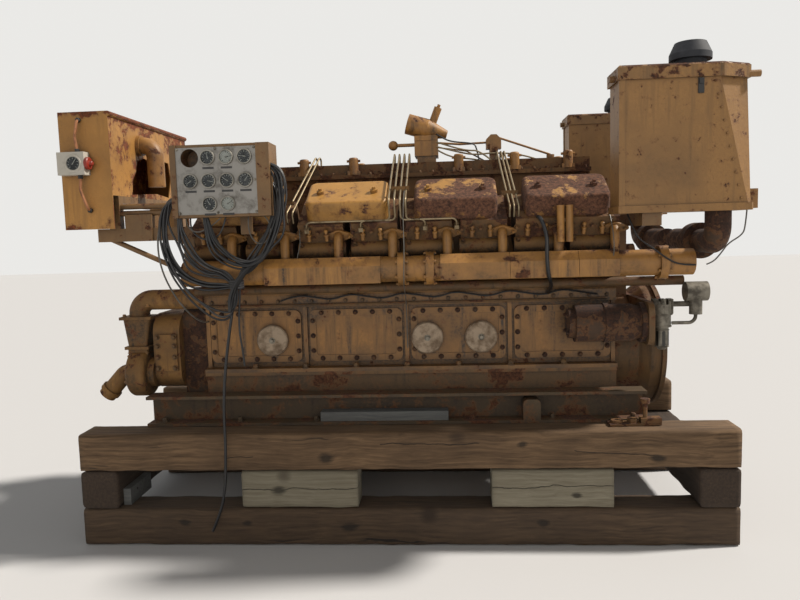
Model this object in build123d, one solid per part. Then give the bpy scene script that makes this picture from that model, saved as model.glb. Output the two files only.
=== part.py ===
from build123d import *
import math
import os

# Marine diesel engine with sixteen cylinders in a vee, standing on a timber crib.
# Millimetres. X runs along the crankshaft from the pump end to the flywheel, Y runs
# across from the port bank to the starboard bank, Z is up from the ground.

os.makedirs("parts", exist_ok=True)

# Crib
timber = 203.0
crib_right = 1725.0
crib_length = 3430.0
crib_width = 1330.0
crib_edge_break = 8.0
spacer_length = 620.0
spacer_depth = 180.0
spacer_first_x = -521.0
spacer_second_x = 789.0
lath_thickness = 40.0
lath_width = 90.0
lath_length = 260.0
lath_inset = 60.0
plank_length = 690.0
plank_width = 76.0
plank_thickness = 50.0
plank_x = -80.0

# Crankshaft line and bank layout
crank_z = 950.0
bank_angle = 30.0
cylinder_pitch = 280.4
cylinders_per_bank = 8
engine_x = 47.0
bank_trim = 0.2

# Base
rail_left_past = -310.5
rail_right_past = 131.5
rail_outer = 515.0
rail_height = 165.0
rail_flange = 16.0
rail_web = 22.0
pan_side = 400.0
pan_skirt_z = 680.0
pan_top = 885.0
pan_floor = 500.0
pan_sump_half = 290.0
pan_flange = 18.0
pan_flange_out = 26.0

# Crankcase
case_side = 354.0
case_flange = 20.0
case_shoulder_z = 1240.0
shoulder_out = 34.0
shoulder_height = 62.0
deck_distance = 690.0
deck_half = 150.0
valley_z = 1560.0
valley_half = 150.0
rib_width = 22.0
rib_out = 16.0

# Inspection covers
cover_length = 512.0
cover_height = 288.0
cover_z = 1076.0
cover_plate = 16.0
cover_corner = 34.0
cover_field_inset = 34.0
cover_field_depth = 5.0
disc_radius = 86.0
disc_thickness = 26.0
disc_z = 1056.0
disc_positions = (-699.0, 160.0, 452.0)

# Cylinder heads and valve covers
head_length = 236.0
head_half = 132.0
head_height = 232.0
valve_cover_length = 424.0
valve_cover_outer = 112.0
valve_cover_inner = 138.0
valve_cover_height = 112.0
valve_cover_corner = 42.0
valve_cover_round = 20.0
stud_radius = 9.0
stud_height = 30.0
nut_radius = 19.0
nut_height = 17.0
tappet_radius = 45.0
tappet_w = 770.0
tappet_length = 250.0

# Water manifolds along the banks
manifold_y = 575.0
manifold_z = 1445.0
manifold_radius = 66.0
manifold_left_past = -25.5
manifold_right_past = 331.5
manifold_flange_radius = 84.0
manifold_flange = 20.0
manifold_joints = (46.0, 190.0, 1350.0)
shield_left = -660.0
shield_right = -62.0
shield_out = 74.0
shield_drop = 66.0
shield_rise = 22.0
shield_top = 68.0
drain_radius = 25.0
drain_z = 1342.0
riser_radius = 24.0
riser_bend = 40.0
riser_shift = 93.0
riser_w = 858.0
riser_flange_reach = 62.0
riser_flange_tip = 12.0
riser_flange_half = 34.0
riser_flange_thickness = 12.0

# Front end
gear_case_left_past = -293.5
gear_case_right_past = -143.5
gear_case_half = 408.0
gear_case_bottom = 790.0
gear_case_top = 1214.0
gear_case_corner = 110.0
gear_cover_inset = 14.0
gear_cover_thickness = 12.0
accessory_half = 345.0
accessory_bottom = 650.0
accessory_top = 1235.0
accessory_corner = 60.0
pump_y = 355.0
pump_z = 885.0
pump_radius = 134.0
pump_left_past = -440.5
pump_width = 112.0
pump_round = 26.0
pump_shaft_radius = 84.0
inlet_radius = 48.0
inlet_reach = 45.0
inlet_bend = 62.0
inlet_tip_x_past = -605.5
inlet_drop = 130.0
inlet_clamp_radius = 57.0
inlet_clamp_width = 26.0
outlet_z = 1295.0
outlet_radius = 56.0
outlet_bend = 78.0
casting_bottom = 1040.0
casting_top = 1190.0
casting_foot = 54.0
casting_head = 76.0
casting_depth = 58.0
flange_plate = 16.0
flange_out = 14.0

# Flywheel end
housing_radius = 355.6
housing_pilot = 323.85
housing_wall = 16.0
housing_neck_radius = 300.0
housing_taper = 110.0
housing_depth = 85.0
housing_bolt_circle = 339.725
housing_bolt_hole = 7.0
housing_bolts = 16
housing_face_past = 280.5
housing_rim = 24.0
flywheel_radius = 300.0
flywheel_thickness = 80.0
flywheel_recess = 30.0
flywheel_lip = 45.0
flywheel_hub_radius = 95.0

# Vee between the banks
vee_top = 2022.0
vee_half = 150.0
vee_ledge_z = 1940.0
vee_ledge = 22.0
vee_ledge_out = 45.0
vee_left_past = 194.5
vee_right_past = -88.5
neck_radius = 27.0
neck_height = 96.0
neck_crown = 12.0
neck_ear = 38.0
neck_ear_radius = 7.0
neck_boss_half = 34.0
neck_boss = 22.0
neck_positions = (-521.0, -239.0, 353.0, 663.0, 956.0)

# Injection pump group
pump_block_left = 104.0
pump_block_right = 238.0
pump_block_height = 128.0
pump_block_half = 95.0
pump_foot_height = 41.0
pump_foot_inset = 14.0
governor_radius = 58.0
governor_length = 236.0
governor_nose_radius = 22.0
governor_drum_share = 118.0
governor_tilt = 17.0
governor_x = 178.0
governor_y = 60.0
governor_z = 2216.0
ram_radius = 22.0
ram_length = 128.0
ram_tilt = 22.0
ram_x = 196.0
ram_nipple_radius = 9.0
ram_nipple = 18.0
stub_half = 40.0
stub_seat = 20.0
knob_radius = 28.0
knob_stem_radius = 10.0
knob_x = -20.0
knob_z = 2130.0

# Air boxes over the flywheel end
box_left_past = -76.5
box_right_past = 521.5
box_outer = 800.0
box_depth = 200.0
box_bottom = 1690.0
box_top = 2300.0
box_chamfer_x = 146.0
box_chamfer_y = 70.0
box_foot_corner = 8.0
box_lip = 8.0
box_lip_height = 34.0
box_seam = 24.0
box_seam_out = 5.0
lid_height = 66.0
lid_overhang = 12.0
lid_edge = 9.0
latch_inset = 70.0
latch_z = 2319.0
latch_reach = 58.0
latch_radius = 16.0
stay_top = 1790.0
stay_height = 92.0
stay_reach = 58.0
stay_width = 64.0
cap_radius = 96.0
cap_height = 80.0
cap_crown = 58.0
cap_neck_radius = 72.0
cap_neck_height = 30.0
cap_x_past = 271.5
stand_left_past = 31.5
stand_width = 90.0
stand_inset = 20.0
stand_depth = 60.0
stand_post_half = 110.0
stand_seat = 60.0

# Turbochargers and ducts
turbo_x_past = 408.5
turbo_y = 430.0
turbo_z = 1545.0
turbo_radius = 92.0
turbo_width = 90.0
turbo_body_radius = 62.0
turbo_body_length = 300.0
duct_radius = 60.0
duct_bend = 80.0

# Expansion tank
tank_left_past = -673.5
tank_right_past = -403.5
tank_half = 547.0
tank_bottom = 1872.0
tank_top = 2310.0
tank_wall = 6.0
tank_roll = 13.0
tank_end_bottom = 1695.0
tear = (
    (-306, 1886), (-288, 1969), (-243, 2017), (-214, 2084), (-120, 2104), (-38, 2092), (60, 2118),
    (236, 2108), (262, 1998), (214, 1890), (30, 1906),
)
tank_elbow_y = 180.0
tank_elbow_z = 2170.0
tank_elbow_reach = 92.0
tank_elbow_drop = 238.0
tank_elbow_radius = 48.0
tank_elbow_bend = 70.0
tank_elbow_collar = 58.0
tank_elbow_collar_width = 20.0
tank_arm_y = 480.0
tank_arm_width = 50.0
tank_arm_depth = 70.0
tank_arm_left_past = -531.5
tank_cradle_depth = 40.0
tank_post = 60.0
tank_post_bottom = 1500.0
strut_radius = 14.0
strut_high_x_past = -515.5
strut_low_y = 365.0
strut_low_z = 1400.0
strut_root = 30.0
junction_left_past = -371.5
junction_width = 146.0
junction_proud = 12.0
junction_depth = 90.0
junction_top = 1768.0
tank_bar_z = 1812.0
tank_bar_end_past = -140.5
tank_bar_radius = 15.0
tank_bar_pitch = 36.0

# Level gauge on the tank end
gauge_box_left_past = -660.5
gauge_box_right_past = -515.5
gauge_box_z = 2038.0
gauge_box_height = 118.0
gauge_box_depth = 62.0

# Gauge panel
panel_left = -1060.0
panel_right = -568.0
panel_bottom = 1733.0
panel_top = 2085.0
panel_front = 790.0
panel_depth = 150.0
plate_left = -1031.0
plate_right = -633.0
plate_margin = 14.0
plate_thickness = 4.0
dial_first_x = -962.0
dial_first_z = 2021.0
dial_pitch_x = 91.0
dial_pitch_z = 112.0
dial_bezel = 36.0
dial_depth = 13.0
dial_gaps = ((0, 0), (0, 2), (3, 2))
panel_frame = 9.0
panel_hole = 44.0
panel_hole_depth = 90.0
panel_arm_x = -770.0
panel_arm_width = 60.0
panel_arm_sheet = 12.0
panel_arm_z = 1645.0
panel_arm_lap = 60.0

# Starter and small fittings on the port side
starter_left_past = -268.5
starter_right_past = 121.5
starter_y = 470.0
starter_z = 1130.0
starter_radius = 98.0
starter_cap_radius = 78.0
starter_cap = 34.0
starter_ring_radius = 104.0
starter_ring = 26.0
starter_ring_x_past = -88.5
starter_nose_radius = 86.0
starter_nose = 70.0
starter_pad_half = 112.0
starter_pad_thickness = 30.0
starter_pad_corner = 60.0
air_line_radius = 14.0
air_line_z = 1222.0
bowl_x_past = 213.5
bowl_y = 480.0
bowl_head_top = 1250.0
bowl_head_radius = 50.0
bowl_head_height = 76.0
bowl_rib = 26.0
bowl_body_radius = 44.0
bowl_body_height = 66.0
bowl_radius = 33.0
bowl_height = 122.0
valve_x_past = 376.5
valve_y = 500.0
valve_z = 1288.0
valve_radius = 50.0
valve_length = 110.0
valve_stem_radius = 32.0
valve_stem_bottom = 1170.0
valve_hose_radius = 9.0
valve_hose_bend = 36.0
valve_hose_z = 1126.0
canister_x_past = -303.5
canister_radius = 19.0
canister_pitch = 42.0
canister_bottom = 1562.0
canister_top = 1743.0
canister_y = 630.0
canister_arm_z = 1660.0
canister_arm_height = 18.0
canister_arm_width = 20.0

# Fuel tubes over the port bank
tube_radius = 5.0
tube_bend = 24.0
tube_start_y = 110.0
tube_start_z = 2085.0
tube_inner_v = 160.0
tube_outer_v = -152.0
tube_over_gap = 26.0
tube_run_rise = 26.0
tube_end_drop = 10.0
tube_nipple_width = 22.0
tube_routes = ((-8.0, -440.0), (20.0, -160.0), (48.0, 330.0), (76.0, 170.0))
lean_routes = ((-456.0, -545.0), (-434.0, -515.0), (566.0, 600.0), (588.0, 622.0), (606.0, 645.0))
lean_start_y = 120.0
lean_foot_v = -107.0
lean_rise = 56.0
lean_bend = 20.0

# Linkage on the vee
link_y = 80.0
lever_left = 512.0
lever_width = 84.0
lever_half = 34.0
lever_foot = 46.0
lever_foot_height = 65.0
lever_cut = 26.0
lever_height = 80.0
link_radius = 6.0
link_bend = 40.0
link_start_z = 2134.0
link_middle = (364.0, 2122.0)
link_end_z = 2126.0
pull_rod_start = (585.0, 2150.0)
pull_rod_end = (874.0, 2046.0)
pull_rod_boss = 22.0
wire_radius = 4.0
wire_bend = 60.0
wire_start_z = 2108.0
wire_middle = (400.0, 2083.0)
wire_end = (505.0, 2022.0)

# Mounting foot on the timber and stop in the rail
foot_left = 1092.0
foot_length = 263.0
foot_near = -602.0
foot_width = 84.0
foot_taper = 40.0
foot_thickness = 12.0
foot_ring_x = 1134.0
foot_ring_radius = 30.0
foot_ring_hole = 14.0
foot_ring_height = 14.0
foot_nut_x = 1212.0
foot_nut_radius = 27.0
foot_nut_height = 22.0
foot_bolt_x = 1277.0
foot_bolt_radius = 11.0
foot_bolt_height = 124.0
foot_bolt_head = 24.0
foot_angle_height = 26.0
stop_left = 660.0
stop_length = 92.0
stop_round = 26.0
stop_top = 735.0

# Cables
fan_radius = 15.0
left_outer = [
    (-1048, -705, 1840), (-1108, -705, 1832), (-1146, -700, 1765), (-1158, -697, 1655), (-1135, -697, 1535),
    (-1064, -698, 1444), (-965, -702, 1398), (-880, -708, 1390), (-800, -712, 1392),
]
left_inner = [
    (-1039, -765, 1745), (-1043, -765, 1680), (-1028, -762, 1602), (-980, -755, 1522), (-910, -746, 1472),
    (-840, -737, 1458), (-797, -726, 1402),
]
left_thin = [
    (-1052, -672, 1801), (-1140, -670, 1790), (-1183, -668, 1711), (-1207, -660, 1589), (-1193, -640, 1448),
    (-1144, -590, 1309), (-1096, -510, 1210), (-1062, -426, 1166), (-1062, -370, 1166),
]
right_outer = [
    (-576, -768, 1978), (-535, -768, 1952), (-522, -770, 1878), (-525, -774, 1769), (-549, -779, 1650),
    (-604, -782, 1548), (-688, -782, 1494), (-779, -778, 1506), (-856, -772, 1566), (-898, -766, 1642),
    (-909, -761, 1745),
]
right_middle = [
    (-574, -700, 1946), (-553, -701, 1915), (-548, -702, 1850), (-560, -703, 1741), (-592, -703, 1628),
    (-645, -702, 1534), (-712, -700, 1468), (-768, -697, 1450), (-786, -702, 1398),
]
right_inner = [
    (-575, -735, 1890), (-556, -735, 1862), (-560, -736, 1794), (-587, -737, 1692), (-633, -738, 1598),
    (-690, -736, 1520), (-742, -731, 1464), (-778, -723, 1398),
]
thin_radius = 4.5
wrap_x = -785.0
wrap_y = -712.0
wrap_bottom = 1372.0
wrap_top = 1420.0
wrap_radius = 38.5
cable_radius = 8.0
hanging_route = [
    (-799, -705, 1378), (-811, -702, 1287), (-836, -704, 1160), (-862, -703, 1010), (-880, -706, 860),
    (-890, -704, 710), (-889, -706, 560), (-897, -703, 420), (-908, -702, 310), (-934, -703, 200), (-984, -701, 97),
]
short_radius = 5.0
short_route = [
    (-768, -714, 1376), (-775, -709, 1300), (-785, -702, 1220), (-784, -704, 1140), (-774, -703, 1060),
    (-768, -700, 975),
]

fit_gap = 0.3

bank_sine = math.sin(math.radians(bank_angle))
bank_cosine = math.cos(math.radians(bank_angle))
sides = (-1, 1)


def block(x, y, z):
    """A block from three pairs of limits."""
    size = (abs(x[1] - x[0]), abs(y[1] - y[0]), abs(z[1] - z[0]))
    middle = ((x[0] + x[1]) / 2, (y[0] + y[1]) / 2, (z[0] + z[1]) / 2)
    return Pos(*middle) * Box(*size)


def rod(start, end, radius):
    """A round bar between two points."""
    axis = Vector(*end) - Vector(*start)
    base = Plane(origin=start, z_dir=axis)
    return base * Cylinder(radius, axis.length, align=(Align.CENTER, Align.CENTER, Align.MIN))


def pipe(points, radius, bend):
    """A round bar along a route with equal bends."""
    route = FilletPolyline(*points, radius=bend)
    base = Plane(origin=route @ 0, z_dir=route % 0)
    return sweep(base * Circle(radius), route)


def along_x(outline, left, right):
    """A solid of constant section in the Y-Z plane from left to right."""
    face = make_face(Plane.YZ.offset(left) * Polyline(*outline, close=True))
    return extrude(face, right - left, dir=(1, 0, 0))


def on_bank(side, x, v, w):
    """A frame on a bank: v runs towards the valley and w runs up along the cylinders."""
    out = (0, side * bank_sine, bank_cosine)
    origin = Vector(x, 0, crank_z) + Vector(*out) * w + Vector(0, -side * bank_cosine, bank_sine) * v
    return Plane(origin=origin, x_dir=(1, 0, 0), z_dir=out)


def bank_block(side, x, v, w):
    """A block in a bank's own directions, from pairs of limits."""
    base = on_bank(side, (x[0] + x[1]) / 2, (v[0] + v[1]) / 2, w[0])
    size = (x[1] - x[0], v[1] - v[0], w[1] - w[0])
    return base * Box(*size, align=(Align.CENTER, Align.CENTER, Align.MIN))


def cylinder_x(number):
    """The place of a cylinder along the engine, counted from the pump end."""
    return engine_x + (number - (cylinders_per_bank - 1) / 2) * cylinder_pitch


def pair_x(number):
    """The place of a pair of cylinders, which share a cover."""
    return engine_x + (2 * number - cylinders_per_bank / 2 + 1) * cylinder_pitch


def other_side(shape):
    """The same piece on the starboard side."""
    return mirror(shape, Plane.XZ)


def save(shape, name):
    """Write one sub-part."""
    export_step(shape, f"parts/{name}.step")


pairs = range(cylinders_per_bank // 2)
cylinders = range(cylinders_per_bank)
crib_left = crib_right - crib_length
crib_half = crib_width / 2
crib_top = 3 * timber
bank_length = cylinders_per_bank * cylinder_pitch - bank_trim
case_left = engine_x - bank_length / 2
case_right = engine_x + bank_length / 2

# Places that keep their distance from the crankcase ends
rail_left = case_left + rail_left_past
manifold_left = case_left + manifold_left_past
gear_case_left = case_left + gear_case_left_past
gear_case_right = case_left + gear_case_right_past
pump_left = case_left + pump_left_past
inlet_tip_x = case_left + inlet_tip_x_past
vee_left = case_left + vee_left_past
tank_left = case_left + tank_left_past
tank_right = case_left + tank_right_past
tank_arm_left = case_left + tank_arm_left_past
junction_left = case_left + junction_left_past
strut_high_x = case_left + strut_high_x_past
tank_bar_end = case_left + tank_bar_end_past
gauge_box_left = case_left + gauge_box_left_past
gauge_box_right = case_left + gauge_box_right_past
rail_right = case_right + rail_right_past
manifold_right = case_right + manifold_right_past
housing_face = case_right + housing_face_past
box_left = case_right + box_left_past
box_right = case_right + box_right_past
stand_left = case_right + stand_left_past
cap_x = case_right + cap_x_past
turbo_x = case_right + turbo_x_past
starter_left = case_right + starter_left_past
starter_ring_x = case_right + starter_ring_x_past
starter_right = case_right + starter_right_past
bowl_x = case_right + bowl_x_past
valve_x = case_right + valve_x_past
vee_right = case_right + vee_right_past
canister_x = case_right + canister_x_past


# Timber crib
def long_timber(bottom):
    beam = block((crib_left, crib_right), (-crib_half, -crib_half + timber), (bottom, bottom + timber))
    return chamfer(beam.edges().filter_by(Axis.X), crib_edge_break)


top_beam = long_timber(2 * timber)
bottom_beam = long_timber(0)
save(Compound([top_beam, other_side(top_beam)]), "crib_top_beams")
save(Compound([bottom_beam, other_side(bottom_beam)]), "crib_bottom_beams")

cross = block((crib_left, crib_left + timber), (-crib_half, crib_half), (timber, 2 * timber))
cross_far = block((crib_right - timber, crib_right), (-crib_half, crib_half), (timber, 2 * timber))
save(Compound([cross, cross_far]), "crib_cross_timbers")

spacers = []
for middle in (spacer_first_x, spacer_second_x):
    ends = (middle - spacer_length / 2, middle + spacer_length / 2)
    spacer = block(ends, (-crib_half, -crib_half + spacer_depth), (timber, 2 * timber))
    spacers += [spacer, other_side(spacer)]
save(Compound(spacers), "crib_spacer_blocks")

plank_seat = crib_top + rail_flange
plank_y = -pan_side - rail_web - fit_gap
plank = block(
    (plank_x - plank_length / 2, plank_x + plank_length / 2),
    (plank_y - plank_width, plank_y),
    (plank_seat, plank_seat + plank_thickness),
)
lath_y = -crib_half + lath_inset
lath_x = crib_left + timber + fit_gap
lath = block((lath_x, lath_x + lath_thickness), (lath_y, lath_y + lath_length), (timber, timber + lath_width))
save(Compound([plank, lath]), "crib_packing_planks")


# Base rails and oil pan
rail_inner = pan_side
rail_outline = [
    (-rail_outer, crib_top),
    (-rail_inner, crib_top),
    (-rail_inner, crib_top + rail_height),
    (-rail_outer, crib_top + rail_height),
    (-rail_outer, crib_top + rail_height - rail_flange),
    (-rail_inner - rail_web, crib_top + rail_height - rail_flange),
    (-rail_inner - rail_web, crib_top + rail_flange),
    (-rail_outer, crib_top + rail_flange),
]
rail = along_x(rail_outline, rail_left, rail_right)
stop = block((stop_left, stop_left + stop_length), (-rail_outer, -rail_inner - rail_web), (crib_top, stop_top))
rail += fillet(stop.edges().filter_by(Axis.Y).group_by(Axis.Z)[-1], stop_round)
save(Compound([rail, other_side(rail)]), "base_rails")

pan_outline = [
    (-pan_side - pan_flange_out, pan_top),
    (-pan_side - pan_flange_out, pan_top - pan_flange),
    (-pan_side, pan_top - pan_flange),
    (-pan_side, pan_skirt_z),
    (-pan_sump_half, pan_floor),
    (pan_sump_half, pan_floor),
    (pan_side, pan_skirt_z),
    (pan_side, pan_top - pan_flange),
    (pan_side + pan_flange_out, pan_top - pan_flange),
    (pan_side + pan_flange_out, pan_top),
]
save(along_x(pan_outline, case_left, case_right), "oil_pan")


# Crankcase with its two banks of cylinders
def bank_point(v, w):
    """A point of the port bank's section as (y, z)."""
    return (-w * bank_sine + v * bank_cosine, crank_z + w * bank_cosine + v * bank_sine)


shoulder_top = case_shoulder_z + shoulder_height
half_case = [
    (-pan_side - pan_flange_out, pan_top),
    (-pan_side - pan_flange_out, pan_top + case_flange),
    (-case_side, pan_top + case_flange),
    (-case_side, case_shoulder_z),
    (-case_side - shoulder_out, case_shoulder_z),
    (-case_side - shoulder_out, shoulder_top),
    bank_point(-deck_half, deck_distance),
    bank_point(deck_half, deck_distance),
    (-valley_half, valley_z),
]
case_outline = half_case + [(-y, z) for y, z in reversed(half_case)]
crankcase = along_x(case_outline, case_left, case_right)
for side in sides:
    for seam in range(len(pairs) + 1):
        middle = engine_x + (seam - len(pairs) / 2) * 2 * cylinder_pitch
        middle = min(max(middle, case_left + rib_width / 2), case_right - rib_width / 2)
        crankcase += block(
            (middle - rib_width / 2, middle + rib_width / 2),
            (side * case_side, side * (case_side + rib_out)),
            (pan_top + case_flange, case_shoulder_z),
        )
save(crankcase, "crankcase")


# Inspection covers and the round breathers on some of them
def inspection_cover(number):
    middle = pair_x(number)
    plate = Plane.XZ.offset(case_side) * Pos(middle, cover_z, 0) * RectangleRounded(
        cover_length, cover_height, cover_corner
    )
    plate = extrude(plate, cover_plate)
    field = Plane.XZ.offset(case_side + cover_plate) * Pos(middle, cover_z, 0) * RectangleRounded(
        cover_length - 2 * cover_field_inset, cover_height - 2 * cover_field_inset, cover_corner / 2
    )
    plate -= extrude(field, -cover_field_depth)
    for place in disc_positions:
        if abs(place - middle) < cover_length / 2:
            plate += rod((place, -case_side, disc_z), (place, -case_side - cover_plate, disc_z), disc_radius)
    return plate


port_covers = [inspection_cover(number) for number in pairs]
save(Compound(port_covers), "inspection_covers_port")
save(Compound([other_side(cover) for cover in port_covers]), "inspection_covers_starboard")

disc_seat = case_side + cover_plate
discs = []
for middle in disc_positions:
    disc = rod((middle, -disc_seat, disc_z), (middle, -disc_seat - disc_thickness, disc_z), disc_radius)
    disc = chamfer(disc.faces().sort_by(Axis.Y)[0].edges(), 6)
    discs += [disc, other_side(disc)]
save(Compound(discs), "breather_discs")


# Cylinder heads, valve covers and tappet housings
deck_to_cover = deck_distance + head_height
for side, name in ((-1, "port"), (1, "starboard")):
    heads = []
    for number in cylinders:
        middle = cylinder_x(number)
        limits = (middle - head_length / 2, middle + head_length / 2)
        heads.append(bank_block(side, limits, (-head_half, head_half), (deck_distance, deck_to_cover)))
    save(Compound(heads), f"cylinder_heads_{name}")

    covers = []
    for number in pairs:
        width = valve_cover_outer + valve_cover_inner
        shift = (valve_cover_inner - valve_cover_outer) / 2
        base = on_bank(side, pair_x(number), shift, deck_to_cover)
        outline = RectangleRounded(valve_cover_length, width, valve_cover_corner)
        cover = extrude(base * outline, valve_cover_height)
        top = cover.faces().sort_by(lambda face: face.center().dot(base.z_dir))[-1]
        cover = fillet(top.edges(), valve_cover_round)
        for place in (-0.5, 0.5):
            seat = on_bank(side, pair_x(number) + place * cylinder_pitch, 0, deck_to_cover + valve_cover_height)
            cover += seat * Cylinder(nut_radius, nut_height, align=(Align.CENTER, Align.CENTER, Align.MIN))
            cover += seat * Cylinder(stud_radius, stud_height, align=(Align.CENTER, Align.CENTER, Align.MIN))
        covers.append(cover)
    save(Compound(covers), f"valve_covers_{name}")

    tappets = []
    for number in cylinders:
        middle = cylinder_x(number)
        v_seat = -head_half - fit_gap
        base = on_bank(side, middle - tappet_length / 2, v_seat, tappet_w)
        outline = Plane(origin=base.origin, x_dir=(0, -side * bank_cosine, bank_sine), z_dir=(1, 0, 0))
        half = extrude(outline * Circle(tappet_radius), tappet_length)
        away = bank_block(
            side,
            (middle - tappet_length, middle + tappet_length),
            (v_seat, v_seat + 2 * tappet_radius),
            (tappet_w - 2 * tappet_radius, tappet_w + 2 * tappet_radius),
        )
        tappets.append(half - away)
    save(Compound(tappets), f"tappet_housings_{name}")


# Water manifolds with their risers
def manifold():
    y = -manifold_y
    body = rod((manifold_left, y, manifold_z), (manifold_right, y, manifold_z), manifold_radius)
    for middle in manifold_joints:
        ends = ((middle - manifold_flange, y, manifold_z), (middle + manifold_flange, y, manifold_z))
        body += rod(*ends, manifold_flange_radius)
    shield = [
        (y - shield_out, manifold_z - shield_drop),
        (y - shield_out, manifold_z + shield_rise),
        (y - shield_out / 2, manifold_z + shield_top),
        (y, manifold_z + shield_top),
        (y, manifold_z - shield_drop),
    ]
    body += along_x(shield, shield_left, shield_right)
    return body


def riser(number):
    middle = cylinder_x(number) + riser_shift
    reach = (manifold_y - riser_seat[0]) / bank_cosine
    knee_z = riser_seat[1] - reach * bank_sine
    start = (middle, -manifold_y, manifold_z)
    knee = (middle, -manifold_y, knee_z)
    end = (middle, -riser_seat[0], riser_seat[1])
    base = on_bank(-1, middle, -head_half, riser_w)
    flange_plane = Plane(origin=base.origin, x_dir=(1, 0, 0), z_dir=(0, -bank_cosine, -bank_sine))
    outline = Circle(riser_flange_half).edges()
    for tip in (-riser_flange_reach, riser_flange_reach):
        outline += (Pos(tip, 0) * Circle(riser_flange_tip)).edges()
    flange = extrude(flange_plane * make_hull(outline), riser_flange_thickness)
    return pipe([start, knee, end], riser_radius, riser_bend) + flange


def drain():
    run = (shoulder_top - bank_point(-deck_half, deck_distance)[1])
    rise = (case_side + shoulder_out + bank_point(-deck_half, deck_distance)[0])
    lean = math.atan2(-rise, -run)
    wall_y = case_side + shoulder_out + (drain_z - shoulder_top) * math.tan(lean)
    y = -wall_y - (drain_radius + fit_gap) / math.cos(lean)
    return rod((manifold_left, y, drain_z), (manifold_right, y, drain_z), drain_radius)


riser_seat_y, riser_seat_z = bank_point(-head_half, riser_w)
riser_seat = (-riser_seat_y, riser_seat_z)
port_manifold = manifold()
port_risers = [riser(number) - port_manifold for number in cylinders]
save(port_manifold, "water_manifold_port")
save(other_side(port_manifold), "water_manifold_starboard")
save(Compound(port_risers), "water_risers_port")
save(Compound([other_side(bar) for bar in port_risers]), "water_risers_starboard")
save(Compound([drain(), other_side(drain())]), "drain_lines")


# Front end: gear case, accessory housing, raw water pump and its pipes
def front_outline(half, bottom, top, corner):
    face = Plane.YZ * Pos(0, (bottom + top) / 2) * RectangleRounded(2 * half, top - bottom, corner)
    return face


def front_block(left, right, half, bottom, top, corner):
    return extrude(Pos(left, 0, 0) * front_outline(half, bottom, top, corner), right - left, dir=(1, 0, 0))


gear_case = front_block(gear_case_left, gear_case_right, gear_case_half, gear_case_bottom, gear_case_top,
                        gear_case_corner)
for side in sides:
    cover_face = side * gear_case_half
    gear_case += block(
        (gear_case_left + gear_cover_inset, gear_case_right - gear_cover_inset),
        (cover_face, cover_face + side * gear_cover_thickness),
        (gear_case_bottom + gear_case_corner, gear_case_top - gear_case_corner),
    )
save(gear_case, "front_gear_case")
accessory = front_block(gear_case_right, case_left, accessory_half, accessory_bottom, accessory_top,
                        accessory_corner)
save(accessory, "accessory_housing")

pump_right = pump_left + pump_width
pump = rod((pump_left, -pump_y, pump_z), (pump_right, -pump_y, pump_z), pump_radius)
pump = fillet(pump.edges().filter_by(GeomType.CIRCLE), pump_round)
pump += rod((pump_right, -pump_y, pump_z), (gear_case_left, -pump_y, pump_z), pump_shaft_radius)
save(pump, "raw_water_pump")

inlet_route = [
    (pump_left, -pump_y, pump_z),
    (pump_left - inlet_reach, -pump_y, pump_z),
    (inlet_tip_x, -pump_y, pump_z - inlet_drop),
]
inlet = pipe(inlet_route, inlet_radius, inlet_bend)
tip = Vector(*inlet_route[2])
back = (Vector(*inlet_route[1]) - tip).normalized()
inlet += rod(tip + back * inlet_clamp_width, tip + back * 2 * inlet_clamp_width, inlet_clamp_radius)
save(inlet, "pump_inlet_elbow")

outlet_x = (pump_left + pump_right) / 2


def flange_pair(half, z):
    width = (outlet_x - half - flange_out, outlet_x + half + flange_out)
    depth = (-pump_y - casting_depth - flange_out, -pump_y + casting_depth + flange_out)
    return block(width, depth, (z, z + flange_plate))


casting = loft([
    Pos(outlet_x, -pump_y, casting_bottom) * RectangleRounded(2 * casting_foot, 2 * casting_depth, flange_out),
    Pos(outlet_x, -pump_y, casting_top) * RectangleRounded(2 * casting_head, 2 * casting_depth, flange_out),
])
casting += flange_pair(casting_foot, casting_bottom - flange_plate)
casting += flange_pair(casting_head, casting_top)
throat_x = (outlet_x - casting_foot, outlet_x + casting_foot)
throat_y = (-pump_y - casting_depth, -pump_y + casting_depth)
casting += block(throat_x, throat_y, (pump_z, casting_bottom - flange_plate))
outlet = pipe(
    [(outlet_x, -pump_y, casting_top), (outlet_x, -pump_y, outlet_z), (case_left, -pump_y, outlet_z)],
    outlet_radius,
    outlet_bend,
)
save(outlet + casting - pump, "coolant_outlet_pipe")


# Flywheel housing and flywheel
def turned(points, height):
    """A solid turned about the crankshaft line from (x, radius) points."""
    face = make_face(Polyline(*[(x, radius) for x, radius in points], close=True))
    return revolve(Plane(origin=(0, 0, height), x_dir=(1, 0, 0), z_dir=(0, -1, 0)) * face,
                   Axis((0, 0, height), (1, 0, 0)))


housing_left = case_right
rim_left = housing_face - housing_rim
housing = turned(
    [
        (housing_left, 0),
        (housing_left, housing_neck_radius),
        (rim_left - housing_taper, housing_neck_radius),
        (rim_left - housing_taper / 2, housing_pilot + housing_wall),
        (rim_left, housing_pilot + housing_wall),
        (rim_left, housing_radius),
        (housing_face, housing_radius),
        (housing_face, housing_pilot),
        (housing_face - housing_depth, housing_pilot),
        (housing_face - housing_depth, 0),
    ],
    crank_z,
)
for number in range(housing_bolts):
    turn = math.radians((number + 0.5) * 360 / housing_bolts)
    y = housing_bolt_circle * math.sin(turn)
    z = crank_z + housing_bolt_circle * math.cos(turn)
    housing -= rod((rim_left, y, z), (housing_face, y, z), housing_bolt_hole)
pad_y = (-starter_y - starter_pad_half, 0)
pad_z = (starter_z - starter_pad_half, starter_z + starter_pad_half)
starter_pad = block((starter_right, starter_right + starter_pad_thickness), pad_y, pad_z)
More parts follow.
